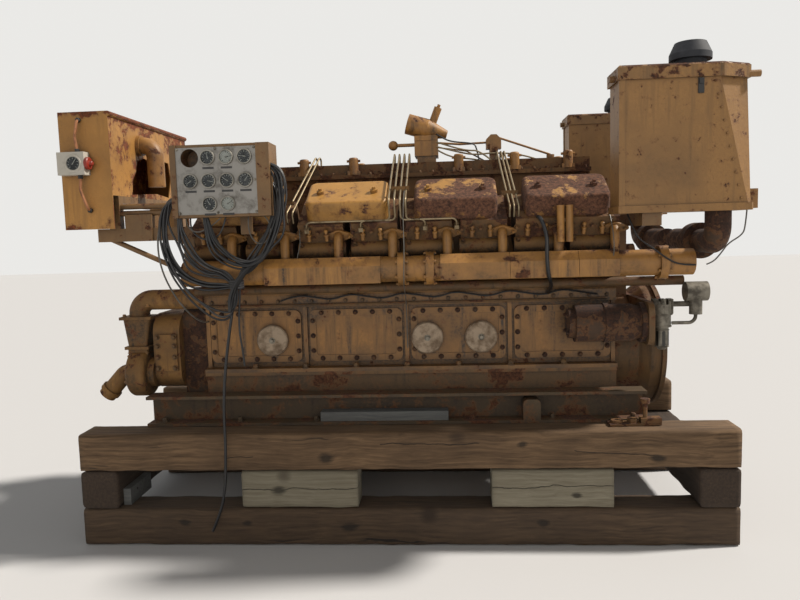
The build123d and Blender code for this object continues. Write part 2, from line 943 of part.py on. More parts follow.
starter_pad = fillet(starter_pad.edges().filter_by(Axis.X).group_by(Axis.Y)[0], starter_pad_corner)
housing += starter_pad
save(housing, "flywheel_housing")

wheel_left = housing_face - housing_depth + fit_gap
flywheel = turned(
    [
        (wheel_left, 0),
        (wheel_left, flywheel_radius),
        (wheel_left + flywheel_thickness, flywheel_radius),
        (wheel_left + flywheel_thickness, flywheel_radius - flywheel_lip),
        (wheel_left + flywheel_thickness - flywheel_recess, flywheel_radius - flywheel_lip),
        (wheel_left + flywheel_thickness - flywheel_recess, flywheel_hub_radius),
        (wheel_left + flywheel_thickness, flywheel_hub_radius),
        (wheel_left + flywheel_thickness, 0),
    ],
    crank_z,
)
save(flywheel, "flywheel")


# Manifold in the vee, its necks, and the injection pump group on top
vee_outline = [
    (-vee_half, valley_z),
    (-vee_half, vee_ledge_z),
    (-vee_half - vee_ledge_out, vee_ledge_z),
    (-vee_half - vee_ledge_out, vee_ledge_z + vee_ledge),
    (-vee_half, vee_ledge_z + vee_ledge),
    (-vee_half, vee_top),
]
vee_outline += [(-y, z) for y, z in reversed(vee_outline)]
vee = along_x(vee_outline, vee_left, vee_right)
save(vee, "vee_manifold")

necks = []
neck_seat = vee_ledge_z + vee_ledge
neck_y = vee_half + neck_radius
for middle in neck_positions:
    neck = rod((middle, -neck_y, neck_seat), (middle, -neck_y, neck_seat + neck_height), neck_radius)
    neck = fillet(neck.faces().sort_by(Axis.Z)[-1].edges(), neck_crown)
    neck += block((middle - neck_boss_half, middle + neck_boss_half), (-vee_half - vee_ledge_out, -vee_half),
                  (neck_seat, neck_seat + neck_boss))
    ear_z = neck_seat + neck_height - neck_crown - neck_ear_radius
    neck += rod((middle - neck_ear, -neck_y, ear_z), (middle + neck_ear, -neck_y, ear_z), neck_ear_radius)
    necks += [neck, other_side(neck)]
save(Compound(necks), "manifold_necks")

pump_block_top = vee_top + pump_block_height
pump_block = block((pump_block_left, pump_block_right), (-pump_block_half, pump_block_half),
                   (vee_top + pump_foot_height, pump_block_top))
pump_block += block((pump_block_left + pump_foot_inset, pump_block_right - pump_foot_inset),
                    (pump_foot_inset - pump_block_half, pump_block_half - pump_foot_inset),
                    (vee_top, vee_top + pump_foot_height))
save(pump_block, "injection_pump")

governor_axis = Vector(math.cos(math.radians(governor_tilt)), 0, -math.sin(math.radians(governor_tilt)))
drum_start = Vector(governor_x, -governor_y, governor_z) - governor_axis * governor_length / 2
drum_outline = Polyline(
    (0, 0), (governor_radius, 0), (governor_radius, governor_drum_share),
    (governor_nose_radius, governor_length), (0, governor_length), close=True,
)
drum = revolve(make_face(drum_outline), Axis.Y)
governor = Plane(origin=drum_start, x_dir=(0, 1, 0), z_dir=governor_axis) * Rot(90, 0, 0) * drum
governor += block((pump_block_left, pump_block_right), (-governor_y - stub_half, -governor_y + stub_half),
                  (pump_block_top, governor_z - governor_radius + stub_seat))
ram_axis = Vector(math.sin(math.radians(ram_tilt)), 0, math.cos(math.radians(ram_tilt)))
ram_start = Vector(ram_x, -governor_y, governor_z)
governor += rod(ram_start, ram_start + ram_axis * ram_length, ram_radius)
governor += rod(ram_start, ram_start + ram_axis * (ram_length + ram_nipple), ram_nipple_radius)
save(governor, "governor")
knob = Pos(knob_x, -governor_y, knob_z) * Sphere(knob_radius)
knob += rod((knob_x, -governor_y, knob_z), (pump_block_left, -governor_y, knob_z), knob_stem_radius)
save(knob, "rack_knob")


# Air boxes over the flywheel end
def box_section(corner_x, corner_y, z, grow):
    left, right = box_left - grow, box_right + grow
    near, far = -box_outer - grow, box_depth - box_outer + grow
    outline = [(left, near), (right - corner_x, near), (right, near + corner_y), (right, far - corner_y),
               (right - corner_x, far), (left, far)]
    return Pos(0, 0, z) * make_face(Polyline(*outline, close=True))


air_box = loft([
    box_section(box_foot_corner, box_foot_corner, box_bottom, 0),
    box_section(box_chamfer_x, box_chamfer_y, box_top, 0),
])
air_box += extrude(box_section(box_foot_corner, box_foot_corner, box_bottom, box_lip), box_lip_height)
seam_x = (box_left - box_seam_out, box_left + box_seam)
air_box += block(seam_x, (-box_outer - box_seam_out, -box_outer + box_seam), (box_bottom, box_top))
stay_y = (-box_outer + latch_inset, -box_outer + latch_inset + stay_width)
air_box += block((box_right, box_right + stay_reach), stay_y, (stay_top - stay_height, stay_top))
save(air_box, "air_box_port")
save(other_side(air_box), "air_box_starboard")
lid = extrude(box_section(box_chamfer_x, box_chamfer_y, box_top, lid_overhang), lid_height)
lid = chamfer(lid.faces().sort_by(Axis.Z)[-1].edges(), lid_edge)
latch = rod((box_right - box_chamfer_x, -box_outer + latch_inset, latch_z),
            (box_right + latch_reach, -box_outer + latch_inset, latch_z), latch_radius)
lid += latch
lid += rod((box_left - latch_inset / 2, -box_outer + latch_inset, latch_z),
           (box_left, -box_outer + latch_inset, latch_z), latch_radius)
save(Compound([lid - air_box, other_side(lid - air_box)]), "air_box_lids")
lid_top = box_top + lid_height
cap_y = box_outer - box_depth / 2
cap_outline = [
    (0, 0), (cap_neck_radius, 0), (cap_neck_radius, cap_neck_height), (cap_radius, cap_neck_height),
    (cap_radius, cap_crown), (cap_neck_radius, cap_neck_height + cap_height), (0, cap_neck_height + cap_height),
]
cap = revolve(make_face(Plane.XZ * Polyline(*cap_outline, close=True)), Axis.Z)
cap = Pos(cap_x, -cap_y, lid_top) * cap
save(Compound([cap, other_side(cap)]), "rain_caps")

turbo = rod((turbo_x, -turbo_y - turbo_width / 2, turbo_z), (turbo_x, -turbo_y + turbo_width / 2, turbo_z),
            turbo_radius)
turbo += rod((turbo_x, -turbo_y + turbo_width / 2, turbo_z),
             (turbo_x, -turbo_y + turbo_width / 2 + turbo_body_length, turbo_z), turbo_body_radius)
save(Compound([turbo, other_side(turbo)]), "turbochargers")
turbo_face = -turbo_y - turbo_width / 2
duct_y = -cap_y
duct = pipe([(turbo_x, turbo_face, turbo_z), (turbo_x, duct_y, turbo_z), (turbo_x, duct_y, box_bottom)],
            duct_radius, duct_bend)
save(Compound([duct, other_side(duct)]), "turbo_inlet_ducts")

stand_x = (stand_left, stand_left + stand_width)
stand_half = box_outer - stand_inset
stand = block(stand_x, (-stand_half, stand_half), (box_bottom - stand_depth, box_bottom))
stand += block(stand_x, (-stand_post_half, stand_post_half),
               (crank_z + housing_neck_radius - stand_seat, box_bottom - stand_depth))
save(stand - housing, "air_box_stand")


# Expansion tank across the pump end
tank_y = (-tank_half + tank_wall, tank_half - tank_wall)
tank = block((tank_left + tank_wall, tank_right), tank_y, (tank_bottom, tank_top))
tank -= block(
    (tank_left + 2 * tank_wall, tank_right - tank_wall),
    (-tank_half + 2 * tank_wall, tank_half - 2 * tank_wall),
    (tank_bottom + tank_wall, tank_top - tank_wall),
)
hole = make_face(Plane.YZ.offset(tank_right - 2 * tank_wall) * Polyline(*tear, close=True))
tank -= extrude(hole, 3 * tank_wall, dir=(1, 0, 0))
for side in sides:
    tank += block((tank_left, tank_right), (side * (tank_half - tank_wall), side * tank_half),
                  (tank_end_bottom, tank_top))
for x in (tank_left + tank_roll, tank_right):
    tank += rod((x, -tank_half, tank_top - tank_roll), (x, tank_half, tank_top - tank_roll), tank_roll)
save(tank, "expansion_tank")

elbow_start = (tank_right, -tank_elbow_y, tank_elbow_z)
elbow_knee = (tank_right + tank_elbow_reach, -tank_elbow_y, tank_elbow_z)
elbow_end = (tank_right + tank_elbow_reach, -tank_elbow_y, tank_elbow_z - tank_elbow_drop)
tank_elbow = pipe([elbow_start, elbow_knee, elbow_end], tank_elbow_radius, tank_elbow_bend)
collar_end = (tank_right + tank_elbow_collar_width, -tank_elbow_y, tank_elbow_z)
tank_elbow += rod(elbow_start, collar_end, tank_elbow_collar)
save(tank_elbow, "tank_elbow")

arm_top = tank_bottom - tank_cradle_depth
arm_bottom = tank_end_bottom - tank_arm_depth
cradle = block((tank_left + tank_roll, tank_right), (-tank_arm_y, tank_arm_y), (arm_top, tank_bottom))
for side in sides:
    near, far = side * (tank_arm_y - tank_arm_width), side * tank_arm_y
    cradle += block((tank_right - tank_post, tank_right), (near, far), (arm_bottom, arm_top))
    cradle += block((tank_arm_left, case_left), (near, far), (arm_bottom, tank_end_bottom))
    cradle += block((case_left - tank_post, case_left), (near, far), (tank_post_bottom, arm_bottom))
    high = (strut_high_x, (near + far) / 2, tank_end_bottom - tank_arm_depth / 2)
    low = (case_left, side * strut_low_y, strut_low_z)
    root = Vector(*low) + (Vector(*low) - Vector(*high)).normalized() * strut_root
    cradle += rod(high, root, strut_radius)
bar_y = tank_arm_width / 2 - tank_arm_y
for drop in (0, tank_bar_pitch):
    bar_z = tank_bar_z - drop
    cradle += rod((tank_right - tank_post, bar_y, bar_z), (tank_bar_end, bar_y, bar_z), tank_bar_radius)
cradle += block((junction_left, junction_left + junction_width),
                (-tank_arm_y - junction_proud, -tank_arm_y + junction_depth), (arm_bottom, junction_top))
past_face = (case_left, case_left + 2 * strut_root)
cradle -= block(past_face, (-tank_arm_y, tank_arm_y), (strut_low_z / 2, tank_end_bottom))
save(cradle, "tank_bracket")

gauge_y = -tank_half
sight = block((gauge_box_left, gauge_box_right), (gauge_y - gauge_box_depth, gauge_y),
              (gauge_box_z - gauge_box_height / 2, gauge_box_z + gauge_box_height / 2))
save(sight, "level_gauge")


# Gauge panel
panel_back = -panel_front + panel_depth
panel = block((panel_left, panel_right), (-panel_front, panel_back), (panel_bottom, panel_top))
for left, right in ((panel_left, plate_left), (plate_right, panel_right)):
    panel += block((left, right), (-panel_front - panel_frame, -panel_front), (panel_bottom, panel_top))
plate = block((plate_left, plate_right), (-panel_front - plate_thickness, -panel_front),
              (panel_bottom + plate_margin, panel_top - plate_margin))
port = rod((dial_first_x, -panel_front - plate_thickness, dial_first_z),
           (dial_first_x, -panel_front + panel_hole_depth, dial_first_z), panel_hole)
save(panel - port, "gauge_panel_box")
save(plate - port, "gauge_plate")
dials = []
for column in range(4):
    for row in range(3):
        if (column, row) in dial_gaps:
            continue
        x = dial_first_x + column * dial_pitch_x
        z = dial_first_z - row * dial_pitch_z
        face_y = -panel_front - plate_thickness
        dials.append(rod((x, face_y, z), (x, face_y - dial_depth, z), dial_bezel))
save(Compound(dials), "panel_gauges")
arm_x = (panel_arm_x, panel_arm_x + panel_arm_width)
arm = block(arm_x, (panel_back, panel_back + panel_arm_sheet), (panel_arm_z, panel_bottom + panel_arm_lap))
arm += block(arm_x, (panel_back, -head_half), (panel_arm_z, panel_arm_z + panel_arm_sheet))
arm -= bank_block(-1, (case_left, case_right), (-head_half, 4 * head_half), (0, deck_to_cover))
save(arm.solids().sort_by(Axis.Y)[0], "panel_bracket")


# Starter and small fittings on the port side
starter_outline = [
    (starter_left, 0),
    (starter_left, starter_cap_radius),
    (starter_left + starter_cap, starter_cap_radius),
    (starter_left + starter_cap, starter_radius),
    (starter_ring_x, starter_radius),
    (starter_ring_x, starter_ring_radius),
    (starter_ring_x + starter_ring, starter_ring_radius),
    (starter_ring_x + starter_ring, starter_radius),
    (starter_right - starter_nose, starter_radius),
    (starter_right - starter_nose / 2, starter_nose_radius),
    (starter_right - starter_ring, starter_nose_radius),
    (starter_right - starter_ring, starter_ring_radius),
    (starter_right, starter_ring_radius),
    (starter_right, 0),
]
save(Pos(0, -starter_y, 0) * turned(starter_outline, starter_z), "air_starter")

head_bottom = bowl_head_top - bowl_head_height
body_bottom = head_bottom - bowl_body_height
bowl_outline = [
    (0, body_bottom - bowl_height),
    (bowl_radius / 2, body_bottom - bowl_height),
    (bowl_radius, body_bottom - bowl_height + bowl_radius / 2),
    (bowl_radius, body_bottom),
    (bowl_body_radius, body_bottom),
    (bowl_body_radius, head_bottom),
    (bowl_head_radius, head_bottom),
    (bowl_head_radius, bowl_head_top - bowl_rib),
    (0, bowl_head_top - bowl_rib),
]
bowl = Pos(bowl_x, -bowl_y, 0) * revolve(make_face(Plane.XZ * Polyline(*bowl_outline, close=True)), Axis.Z)
for shift in (-1, 0, 1):
    rib_x = bowl_x + shift * (bowl_head_radius - bowl_rib / 2)
    bowl += block((rib_x - bowl_rib / 2, rib_x + bowl_rib / 2), (-bowl_y - bowl_rib, -bowl_y + bowl_rib),
                  (head_bottom, bowl_head_top))
air_line_start = (starter_right + starter_pad_thickness, -bowl_y, air_line_z)
bowl += rod(air_line_start, (bowl_x, -bowl_y, air_line_z), air_line_radius)
save(bowl, "air_lubricator")

relay_left = (valve_x - valve_length / 2, -valve_y, valve_z)
relay_right = (valve_x + valve_length / 2, -valve_y, valve_z)
relay = rod(relay_left, relay_right, valve_radius)
relay += rod((valve_x, -valve_y, valve_stem_bottom), (valve_x, -valve_y, valve_z), valve_stem_radius)
relay += pipe([(valve_x, -valve_y, valve_stem_bottom), (valve_x, -valve_y, valve_hose_z),
               (bowl_x + bowl_body_radius, -valve_y, valve_hose_z)], valve_hose_radius, valve_hose_bend)
joint = (bowl_x + bowl_head_radius, -bowl_y, air_line_z)
relay += rod(joint, (valve_x, -bowl_y, air_line_z), air_line_radius)
save(relay, "relay_valve")
canisters = []
for shift in (-0.5, 0.5):
    x = canister_x + shift * canister_pitch
    canisters.append(rod((x, -canister_y, canister_bottom), (x, -canister_y, canister_top), canister_radius))
canister_arm = block((canister_x - canister_arm_width, canister_x + canister_arm_width), (-canister_y, -head_half),
                     (canister_arm_z, canister_arm_z + canister_arm_height))
canister_arm -= bank_block(-1, (case_left, case_right), (-head_half, 4 * head_half), (0, deck_to_cover))
save(canisters[0] + canisters[1] + canister_arm.solids().sort_by(Axis.Y)[0], "filter_canisters")


# Linkage from the governor along the vee
lever_x = (lever_left, lever_left + lever_width)
lever_seat = vee_top + lever_foot_height
lever_y = (-link_y - lever_half, -link_y + lever_half)
lever = block(lever_x, lever_y, (lever_seat, lever_seat + lever_height))
lever = chamfer(lever.edges().filter_by(Axis.Y).group_by(Axis.Z)[-1], lever_cut)
foot_x = lever_left + (lever_width - lever_foot) / 2
lever += block((foot_x, foot_x + lever_foot), lever_y, (vee_top, lever_seat))
rod_end = (pull_rod_end[0], -link_y, pull_rod_end[1])
lever += rod((pull_rod_start[0], -link_y, pull_rod_start[1]), rod_end, link_radius)
lever += rod((pull_rod_end[0], -link_y, vee_top), rod_end, pull_rod_boss)
lever += pipe([(pump_block_right, -link_y, link_start_z), (link_middle[0], -link_y, link_middle[1]),
               (lever_left, -link_y, link_end_z)], link_radius, link_bend)
lever += pipe([(pump_block_right, -link_y, wire_start_z), (wire_middle[0], -link_y, wire_middle[1]),
               (wire_end[0], -link_y, wire_end[1])], wire_radius, wire_bend)
save(lever - vee - pump_block, "control_linkage")

# Mounting foot left loose on the port timber
foot_right = foot_left + foot_length
foot_y = foot_near + foot_width / 2
foot_far = foot_near + foot_width
foot_outline = Polyline(
    (foot_left, foot_near), (foot_right, foot_near + foot_taper / 2),
    (foot_right, foot_far - foot_taper / 2), (foot_left, foot_far), close=True,
)
foot_top = crib_top + foot_thickness
foot = Pos(0, 0, crib_top) * extrude(make_face(foot_outline), foot_thickness)
ring_top = (foot_ring_x, foot_y, foot_top + foot_ring_height)
foot += rod((foot_ring_x, foot_y, foot_top), ring_top, foot_ring_radius)
foot -= rod((foot_ring_x, foot_y, crib_top), ring_top, foot_ring_hole)
nut = extrude(Pos(foot_nut_x, foot_y, foot_top) * RegularPolygon(foot_nut_radius, 6), foot_nut_height)
foot += nut
bolt_top = (foot_bolt_x, foot_y, foot_top + foot_bolt_height)
foot += rod((foot_bolt_x, foot_y, foot_top), bolt_top, foot_bolt_radius)
foot += rod((foot_bolt_x, foot_y, foot_top + foot_bolt_height - foot_bolt_head), bolt_top, foot_bolt_head)
angle_y = (foot_y - foot_angle_height, foot_y + foot_angle_height)
foot += block((foot_bolt_x - foot_angle_height, foot_right), angle_y, (foot_top, foot_top + foot_angle_height))
save(foot, "foot_plate")


# Fuel tubes from the injection pump over the port bank
def bank_place(x, v, w):
    y, z = bank_point(v, w)
    return (x, y, z)


cover_top_w = deck_to_cover + valve_cover_height
tube_over_w = cover_top_w + tube_over_gap
tube_run_w = deck_to_cover + tube_run_rise
tube_end_w = deck_to_cover - tube_end_drop
tubes = []
for drop_x, end_x in tube_routes:
    start = (drop_x, -tube_start_y, vee_top)
    corner = (drop_x, -tube_start_y, tube_start_z)
    over = [bank_place(drop_x, tube_inner_v, tube_over_w), bank_place(drop_x, tube_outer_v, tube_over_w)]
    run = [bank_place(drop_x, tube_outer_v, tube_run_w), bank_place(end_x, tube_outer_v, tube_run_w)]
    end = bank_place(end_x, tube_outer_v, tube_end_w)
    tube = pipe([start, corner] + over + run + [end], tube_radius, tube_bend)
    nipple = bank_block(-1, (end_x - tube_nipple_width / 2, end_x + tube_nipple_width / 2),
                        (tube_outer_v - tube_nipple_width / 2, -head_half),
                        (tube_end_w - tube_nipple_width, tube_end_w))
    tubes.append(tube + nipple)
for start_x, foot_x in lean_routes:
    foot_place = bank_place(foot_x, lean_foot_v, deck_to_cover)
    above = bank_place(foot_x, lean_foot_v, deck_to_cover + lean_rise)
    start = (start_x, -lean_start_y, vee_top)
    corner = (start_x, -lean_start_y, tube_start_z)
    tubes.append(pipe([start, corner, above, foot_place], tube_radius, lean_bend))
save(Compound(tubes), "fuel_tubes")


# Cables that hang from the gauge panel
def cord(points, radius, name):
    """A round cable along straight runs joined by arcs that are as large as the runs allow."""
    corners = [Vector(*point) for point in points]
    radii = []
    for before, here, after in zip(corners, corners[1:], corners[2:]):
        turn = (here - before).get_angle(after - here)
        shorter = min((here - before).length, (after - here).length)
        radii.append(0.45 * shorter / math.tan(math.radians(turn / 2)))
    print(name, "radii", [round(value) for value in radii])
    route = FilletPolyline(*points, radius=radii)
    base = Plane(origin=route @ 0, z_dir=route % 0)
    return sweep(base * Circle(radius), route)


wrap = rod((wrap_x, wrap_y, wrap_bottom), (wrap_x, wrap_y, wrap_top), wrap_radius)
outer = cord(left_outer, fan_radius, "left outer") - panel
inner = cord(left_inner, fan_radius, "left inner") - panel
thin = cord(left_thin, thin_radius, "left thin") - panel
save(Compound((wrap + outer + inner).solids() + thin.solids()), "cable_bundle_left")
right_fan = []
for route, name in ((right_outer, "right outer"), (right_middle, "right middle"), (right_inner, "right inner")):
    right_fan += (cord(route, fan_radius, name) - wrap - panel).solids()
save(Compound(right_fan), "cable_bundle_right")
save(cord(hanging_route, cable_radius, "hanging_cable") - wrap, "hanging_cable")
save(cord(short_route, short_radius, "short_cable") - wrap, "short_cable")
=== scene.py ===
import itertools
import math
import random

import bmesh
import bpy
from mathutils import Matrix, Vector, noise


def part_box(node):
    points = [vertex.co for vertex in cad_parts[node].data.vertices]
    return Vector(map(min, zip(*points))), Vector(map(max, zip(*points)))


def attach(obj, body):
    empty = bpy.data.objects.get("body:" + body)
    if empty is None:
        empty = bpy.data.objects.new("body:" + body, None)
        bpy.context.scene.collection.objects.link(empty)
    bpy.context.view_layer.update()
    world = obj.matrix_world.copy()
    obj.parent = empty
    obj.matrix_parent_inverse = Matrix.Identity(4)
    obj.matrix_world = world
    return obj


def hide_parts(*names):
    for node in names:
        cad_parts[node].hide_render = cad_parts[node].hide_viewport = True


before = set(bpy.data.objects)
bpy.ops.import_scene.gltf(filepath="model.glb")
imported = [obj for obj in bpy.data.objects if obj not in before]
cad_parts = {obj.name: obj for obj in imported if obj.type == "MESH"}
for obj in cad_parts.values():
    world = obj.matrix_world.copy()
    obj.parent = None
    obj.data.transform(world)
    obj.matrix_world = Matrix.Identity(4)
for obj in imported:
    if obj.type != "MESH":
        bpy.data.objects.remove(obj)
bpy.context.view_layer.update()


# Camera and studio.
# The engine is seen from its port side, at eye height and a little right of the middle, as in the
# photograph. A sun over the flywheel end lights the tops, and a wide soft lamp lights the front.
scene = bpy.context.scene
scene.view_settings.view_transform = "Standard"
camera = bpy.data.objects.new("camera", bpy.data.cameras.new("camera"))
camera.location = (0.290, -4.204, 1.640)
camera.rotation_euler = [math.radians(turn) for turn in (84.405, 1.688, 3.940)]
camera.data.sensor_width = 36.0
camera.data.lens = 31.80
scene.collection.objects.link(camera)
scene.camera = camera


def linear(hex_colour):
    """Turns an sRGB hex colour into Blender's linear values."""
    parts = [int(hex_colour[i : i + 2], 16) / 255 for i in (1, 3, 5)]
    return [c / 12.92 if c <= 0.04045 else ((c + 0.055) / 1.055) ** 2.4 for c in parts] + [1.0]


def feed(tree, node, inputs):
    """Gives inputs, named or in their order, a value, an sRGB colour or a link. A node stands for the
    first output that its settings leave it."""
    for socket, value in inputs.items() if isinstance(inputs, dict) else enumerate(inputs):
        if isinstance(value, bpy.types.Node):
            value = next(output for output in value.outputs if output.enabled)
        if isinstance(value, bpy.types.NodeSocket):
            tree.links.new(value, node.inputs[socket])
        else:
            is_colour = isinstance(value, str) and value.startswith("#")
            node.inputs[socket].default_value = linear(value) if is_colour else value


def add(tree, kind, settings=(), inputs=()):
    """Adds one node with its settings, or only the name of its operation, and feeds its inputs. A kind
    with no family in its name is a shader node."""
    made = tree.nodes.new(kind if "Node" in kind else "ShaderNode" + kind)
    if isinstance(settings, str):
        settings = {"operation": settings}
    for name, value in dict(settings).items():
        setattr(made, name, value)
    feed(tree, made, inputs)
    return made


def lamp(name, kind, place, aim, strength, colour, width, height=1.0):
    """A soft lamp that looks at a point: a sun of a given angle, or a rectangle in metres."""
    made = bpy.data.objects.new(name, bpy.data.lights.new(name, kind))
    made.data.energy = strength
    made.data.color = linear(colour)[:3]
    if kind == "SUN":
        made.data.angle = math.radians(width)
    else:
        made.data.shape = "RECTANGLE"
        made.data.size = width
        made.data.size_y = height
    made.location = place
    made.rotation_euler = (Vector(aim) - Vector(place)).to_track_quat("-Z", "Y").to_euler()
    scene.collection.objects.link(made)


lamp("lamp_over_flywheel_end", "SUN", (5.2, 0.7, 5.2), (0.0, 0.0, 0.0), 4.4, "#fff7ec", 5.0)
lamp("lamp_front", "AREA", (0.5, -8.5, 3.0), (0.0, 0.0, 1.1), 115, "#fff4e6", 6.0, 3.5)

world = bpy.data.worlds.new("studio")
scene.world = world
world.use_nodes = True
sky = world.node_tree
sky.nodes.clear()
ray = add(sky, "LightPath").outputs
seen = add(sky, "Math", "MAXIMUM", (ray["Is Camera Ray"], ray["Is Glossy Ray"]))
seen = add(sky, "Math", "MAXIMUM", (seen, ray["Is Transmission Ray"]))
ambient = add(sky, "Background", {}, {"Color": "#e6e5e2", "Strength": 0.27})
backdrop = add(sky, "Background", {}, {"Color": "#f3f2ef", "Strength": 0.92})
sky_mix = add(sky, "MixShader", {}, (seen, ambient, backdrop))
add(sky, "OutputWorld", {}, {"Surface": sky_mix})


def mesh_piece(name, verts, faces):
    """A mesh object at the origin, its place in its points."""
    mesh = bpy.data.meshes.new(name)
    mesh.from_pydata(verts, [], faces)
    mesh.update()
    piece = bpy.data.objects.new(name, mesh)
    scene.collection.objects.link(piece)
    return piece


floor_half = 30.0
floor_corners = [(floor_half * x, floor_half * y, 0) for x, y in ((-1, -1), (1, -1), (1, 1), (-1, 1))]
floor = mesh_piece("studio_floor", floor_corners, [(0, 1, 2, 3)])
floor_finish = bpy.data.materials.new("pale studio floor")
floor_finish.use_nodes = True
floor_tree = floor_finish.node_tree
feed(floor_tree, floor_tree.nodes["Principled BSDF"], {"Base Color": "#cfd0d2", "Roughness": 0.9})
floor.data.materials.append(floor_finish)


# Black cables.
# Gauge wiring in black rubber sheaths, cut loose from its instruments. It leaves the panel box at
# both sides, hangs in fans of loose loops and is gathered in a taped wrap, and one long end hangs to
# the ground.
def fineness(size_mm):
    """The scale of a pattern whose marks are this many millimetres across."""
    return 1000 / size_mm


def begun_finish(name):
    """A new material, its node tree, its shader and the coordinates of the object it is on."""
    finish = bpy.data.materials.new(name)
    finish.use_nodes = True
    tree = finish.node_tree
    return finish, tree, tree.nodes["Principled BSDF"], add(tree, "TexCoord").outputs["Object"]


# A mix of colours takes its share at input 0 and its colours at inputs 6 and 7.
in_colour = {"data_type": "RGBA"}


def rubber(name, colour, dust, roughness=0.42):
    """Extruded rubber sheath, dull black with dried dust on its upper side."""
    finish, tree, skin, place = begun_finish(name)
    dust_noise = add(tree, "TexNoise", {}, {"Vector": place, "Scale": fineness(45), "Detail": 6})
    normal = add(tree, "NewGeometry").outputs["Normal"]
    upward = add(tree, "SeparateXYZ", {}, (normal,)).outputs["Z"]
    lying = add(tree, "Math", "MULTIPLY_ADD", (upward, 0.25, dust_noise))
    cover = add(tree, "MapRange", {}, (lying, 0.5, 0.95, 0, 0.8))
    tone = add(tree, "Mix", in_colour, {0: cover, 6: colour, 7: dust})
    bump = add(tree, "Bump", {}, {"Strength": 0.25, "Distance": 0.0006, "Height": dust_noise})
    feed(tree, skin, {"Base Color": tone, "Roughness": roughness, "Normal": bump})
    return finish


black_sheath = rubber("black rubber sheath", "#0e0f12", "#2c2c2f")
# Painted highlight: the paler sheath stands partly for dust and partly for sunlit strands.
dust_and_highlight_sheath = rubber("dusty rubber sheath with painted highlight", "#25262a", "#5c5b56")
grey_sheath = rubber("grey rubber sheath", "#55534f", "#8a857a")

left_outer = [
    (-1048, -705, 1840), (-1108, -705, 1832), (-1146, -700, 1765), (-1158, -697, 1655), (-1135, -697, 1535),
    (-1064, -698, 1444), (-965, -702, 1398), (-880, -708, 1390), (-800, -712, 1392),
]
left_inner = [
    (-1039, -765, 1745), (-1043, -765, 1680), (-1028, -762, 1602), (-980, -755, 1522), (-910, -746, 1472),
    (-840, -737, 1458), (-797, -726, 1402),
]
left_thin = [
    (-1052, -672, 1801), (-1140, -670, 1790), (-1183, -668, 1711), (-1207, -660, 1589), (-1193, -640, 1448),
    (-1144, -590, 1309), (-1096, -510, 1210), (-1062, -426, 1166), (-1062, -370, 1166),
]
right_outer = [
    (-576, -768, 1978), (-535, -768, 1952), (-522, -770, 1878), (-525, -774, 1769), (-549, -779, 1650),
    (-604, -782, 1548), (-688, -782, 1494), (-779, -778, 1506), (-856, -772, 1566), (-898, -766, 1642),
    (-909, -761, 1745),
]
right_middle = [
    (-574, -700, 1946), (-553, -701, 1915), (-548, -702, 1850), (-560, -703, 1741), (-592, -703, 1628),
    (-645, -702, 1534), (-712, -700, 1468), (-768, -697, 1450), (-786, -702, 1398),
]
right_inner = [
    (-575, -735, 1890), (-556, -735, 1862), (-560, -736, 1794), (-587, -737, 1692), (-633, -738, 1598),
    (-690, -736, 1520), (-742, -731, 1464), (-778, -723, 1398),
]
tail_route = [
    (-640, -784, 1512), (-688, -786, 1492), (-740, -780, 1440), (-775, -768, 1392), (-800, -754, 1340),
    (-812, -745, 1300), (-816, -742, 1262),
]
low_loop = [
    (-1162, -700, 1610), (-1140, -700, 1478), (-1062, -706, 1345), (-976, -706, 1272), (-900, -706, 1218),
    (-836, -708, 1222), (-800, -710, 1300), (-792, -712, 1374),
]
hanging_route = [
    (-799, -705, 1378), (-811, -702, 1287), (-836, -704, 1160), (-862, -703, 1010), (-880, -706, 860),
    (-890, -704, 710), (-889, -706, 560), (-897, -703, 420), (-908, -702, 310), (-934, -703, 200),
    (-984, -701, 97),
]
short_route = [
    (-768, -714, 1376), (-775, -709, 1300), (-785, -702, 1220), (-784, -704, 1140), (-774, -703, 1060),
    (-768, -700, 975),
]


def strayed(route_mm, shift_mm, stray_mm, seed):
    """A route shifted sideways, which strays by so many millimetres between its ends, and less in depth."""
    chance = random.Random(seed)
    stray_shares = (1, 0.4, 1)
    moved = []
    for index, stop in enumerate(route_mm):
        ease = math.sin(math.pi * index / (len(route_mm) - 1)) ** 0.5
        stray = [ease * stray_mm * chance.uniform(-1, 1) for k in range(3)]
        spread_out = 0.35 + 0.65 * ease
        moved.append([stop[k] + shift_mm[k] * spread_out + stray[k] * stray_shares[k] for k in range(3)])
    return moved


def smooth_curve(name, stops_mm, diameter_mm, round_steps, run_steps):
    """A curve along given points, with a round section and closed ends."""
    curve = bpy.data.curves.new(name, "CURVE")
    curve.dimensions = "3D"
    spline = curve.splines.new("NURBS")
    spline.points.add(len(stops_mm) - 1)
    for point, stop in zip(spline.points, stops_mm):
        point.co = (*[part / 1000 for part in stop], 1.0)
    spline.order_u = 3
    spline.use_endpoint_u = True
    curve.bevel_depth = diameter_mm / 2000
    curve.bevel_resolution = round_steps
    curve.resolution_u = run_steps
    curve.use_fill_caps = True
    return curve


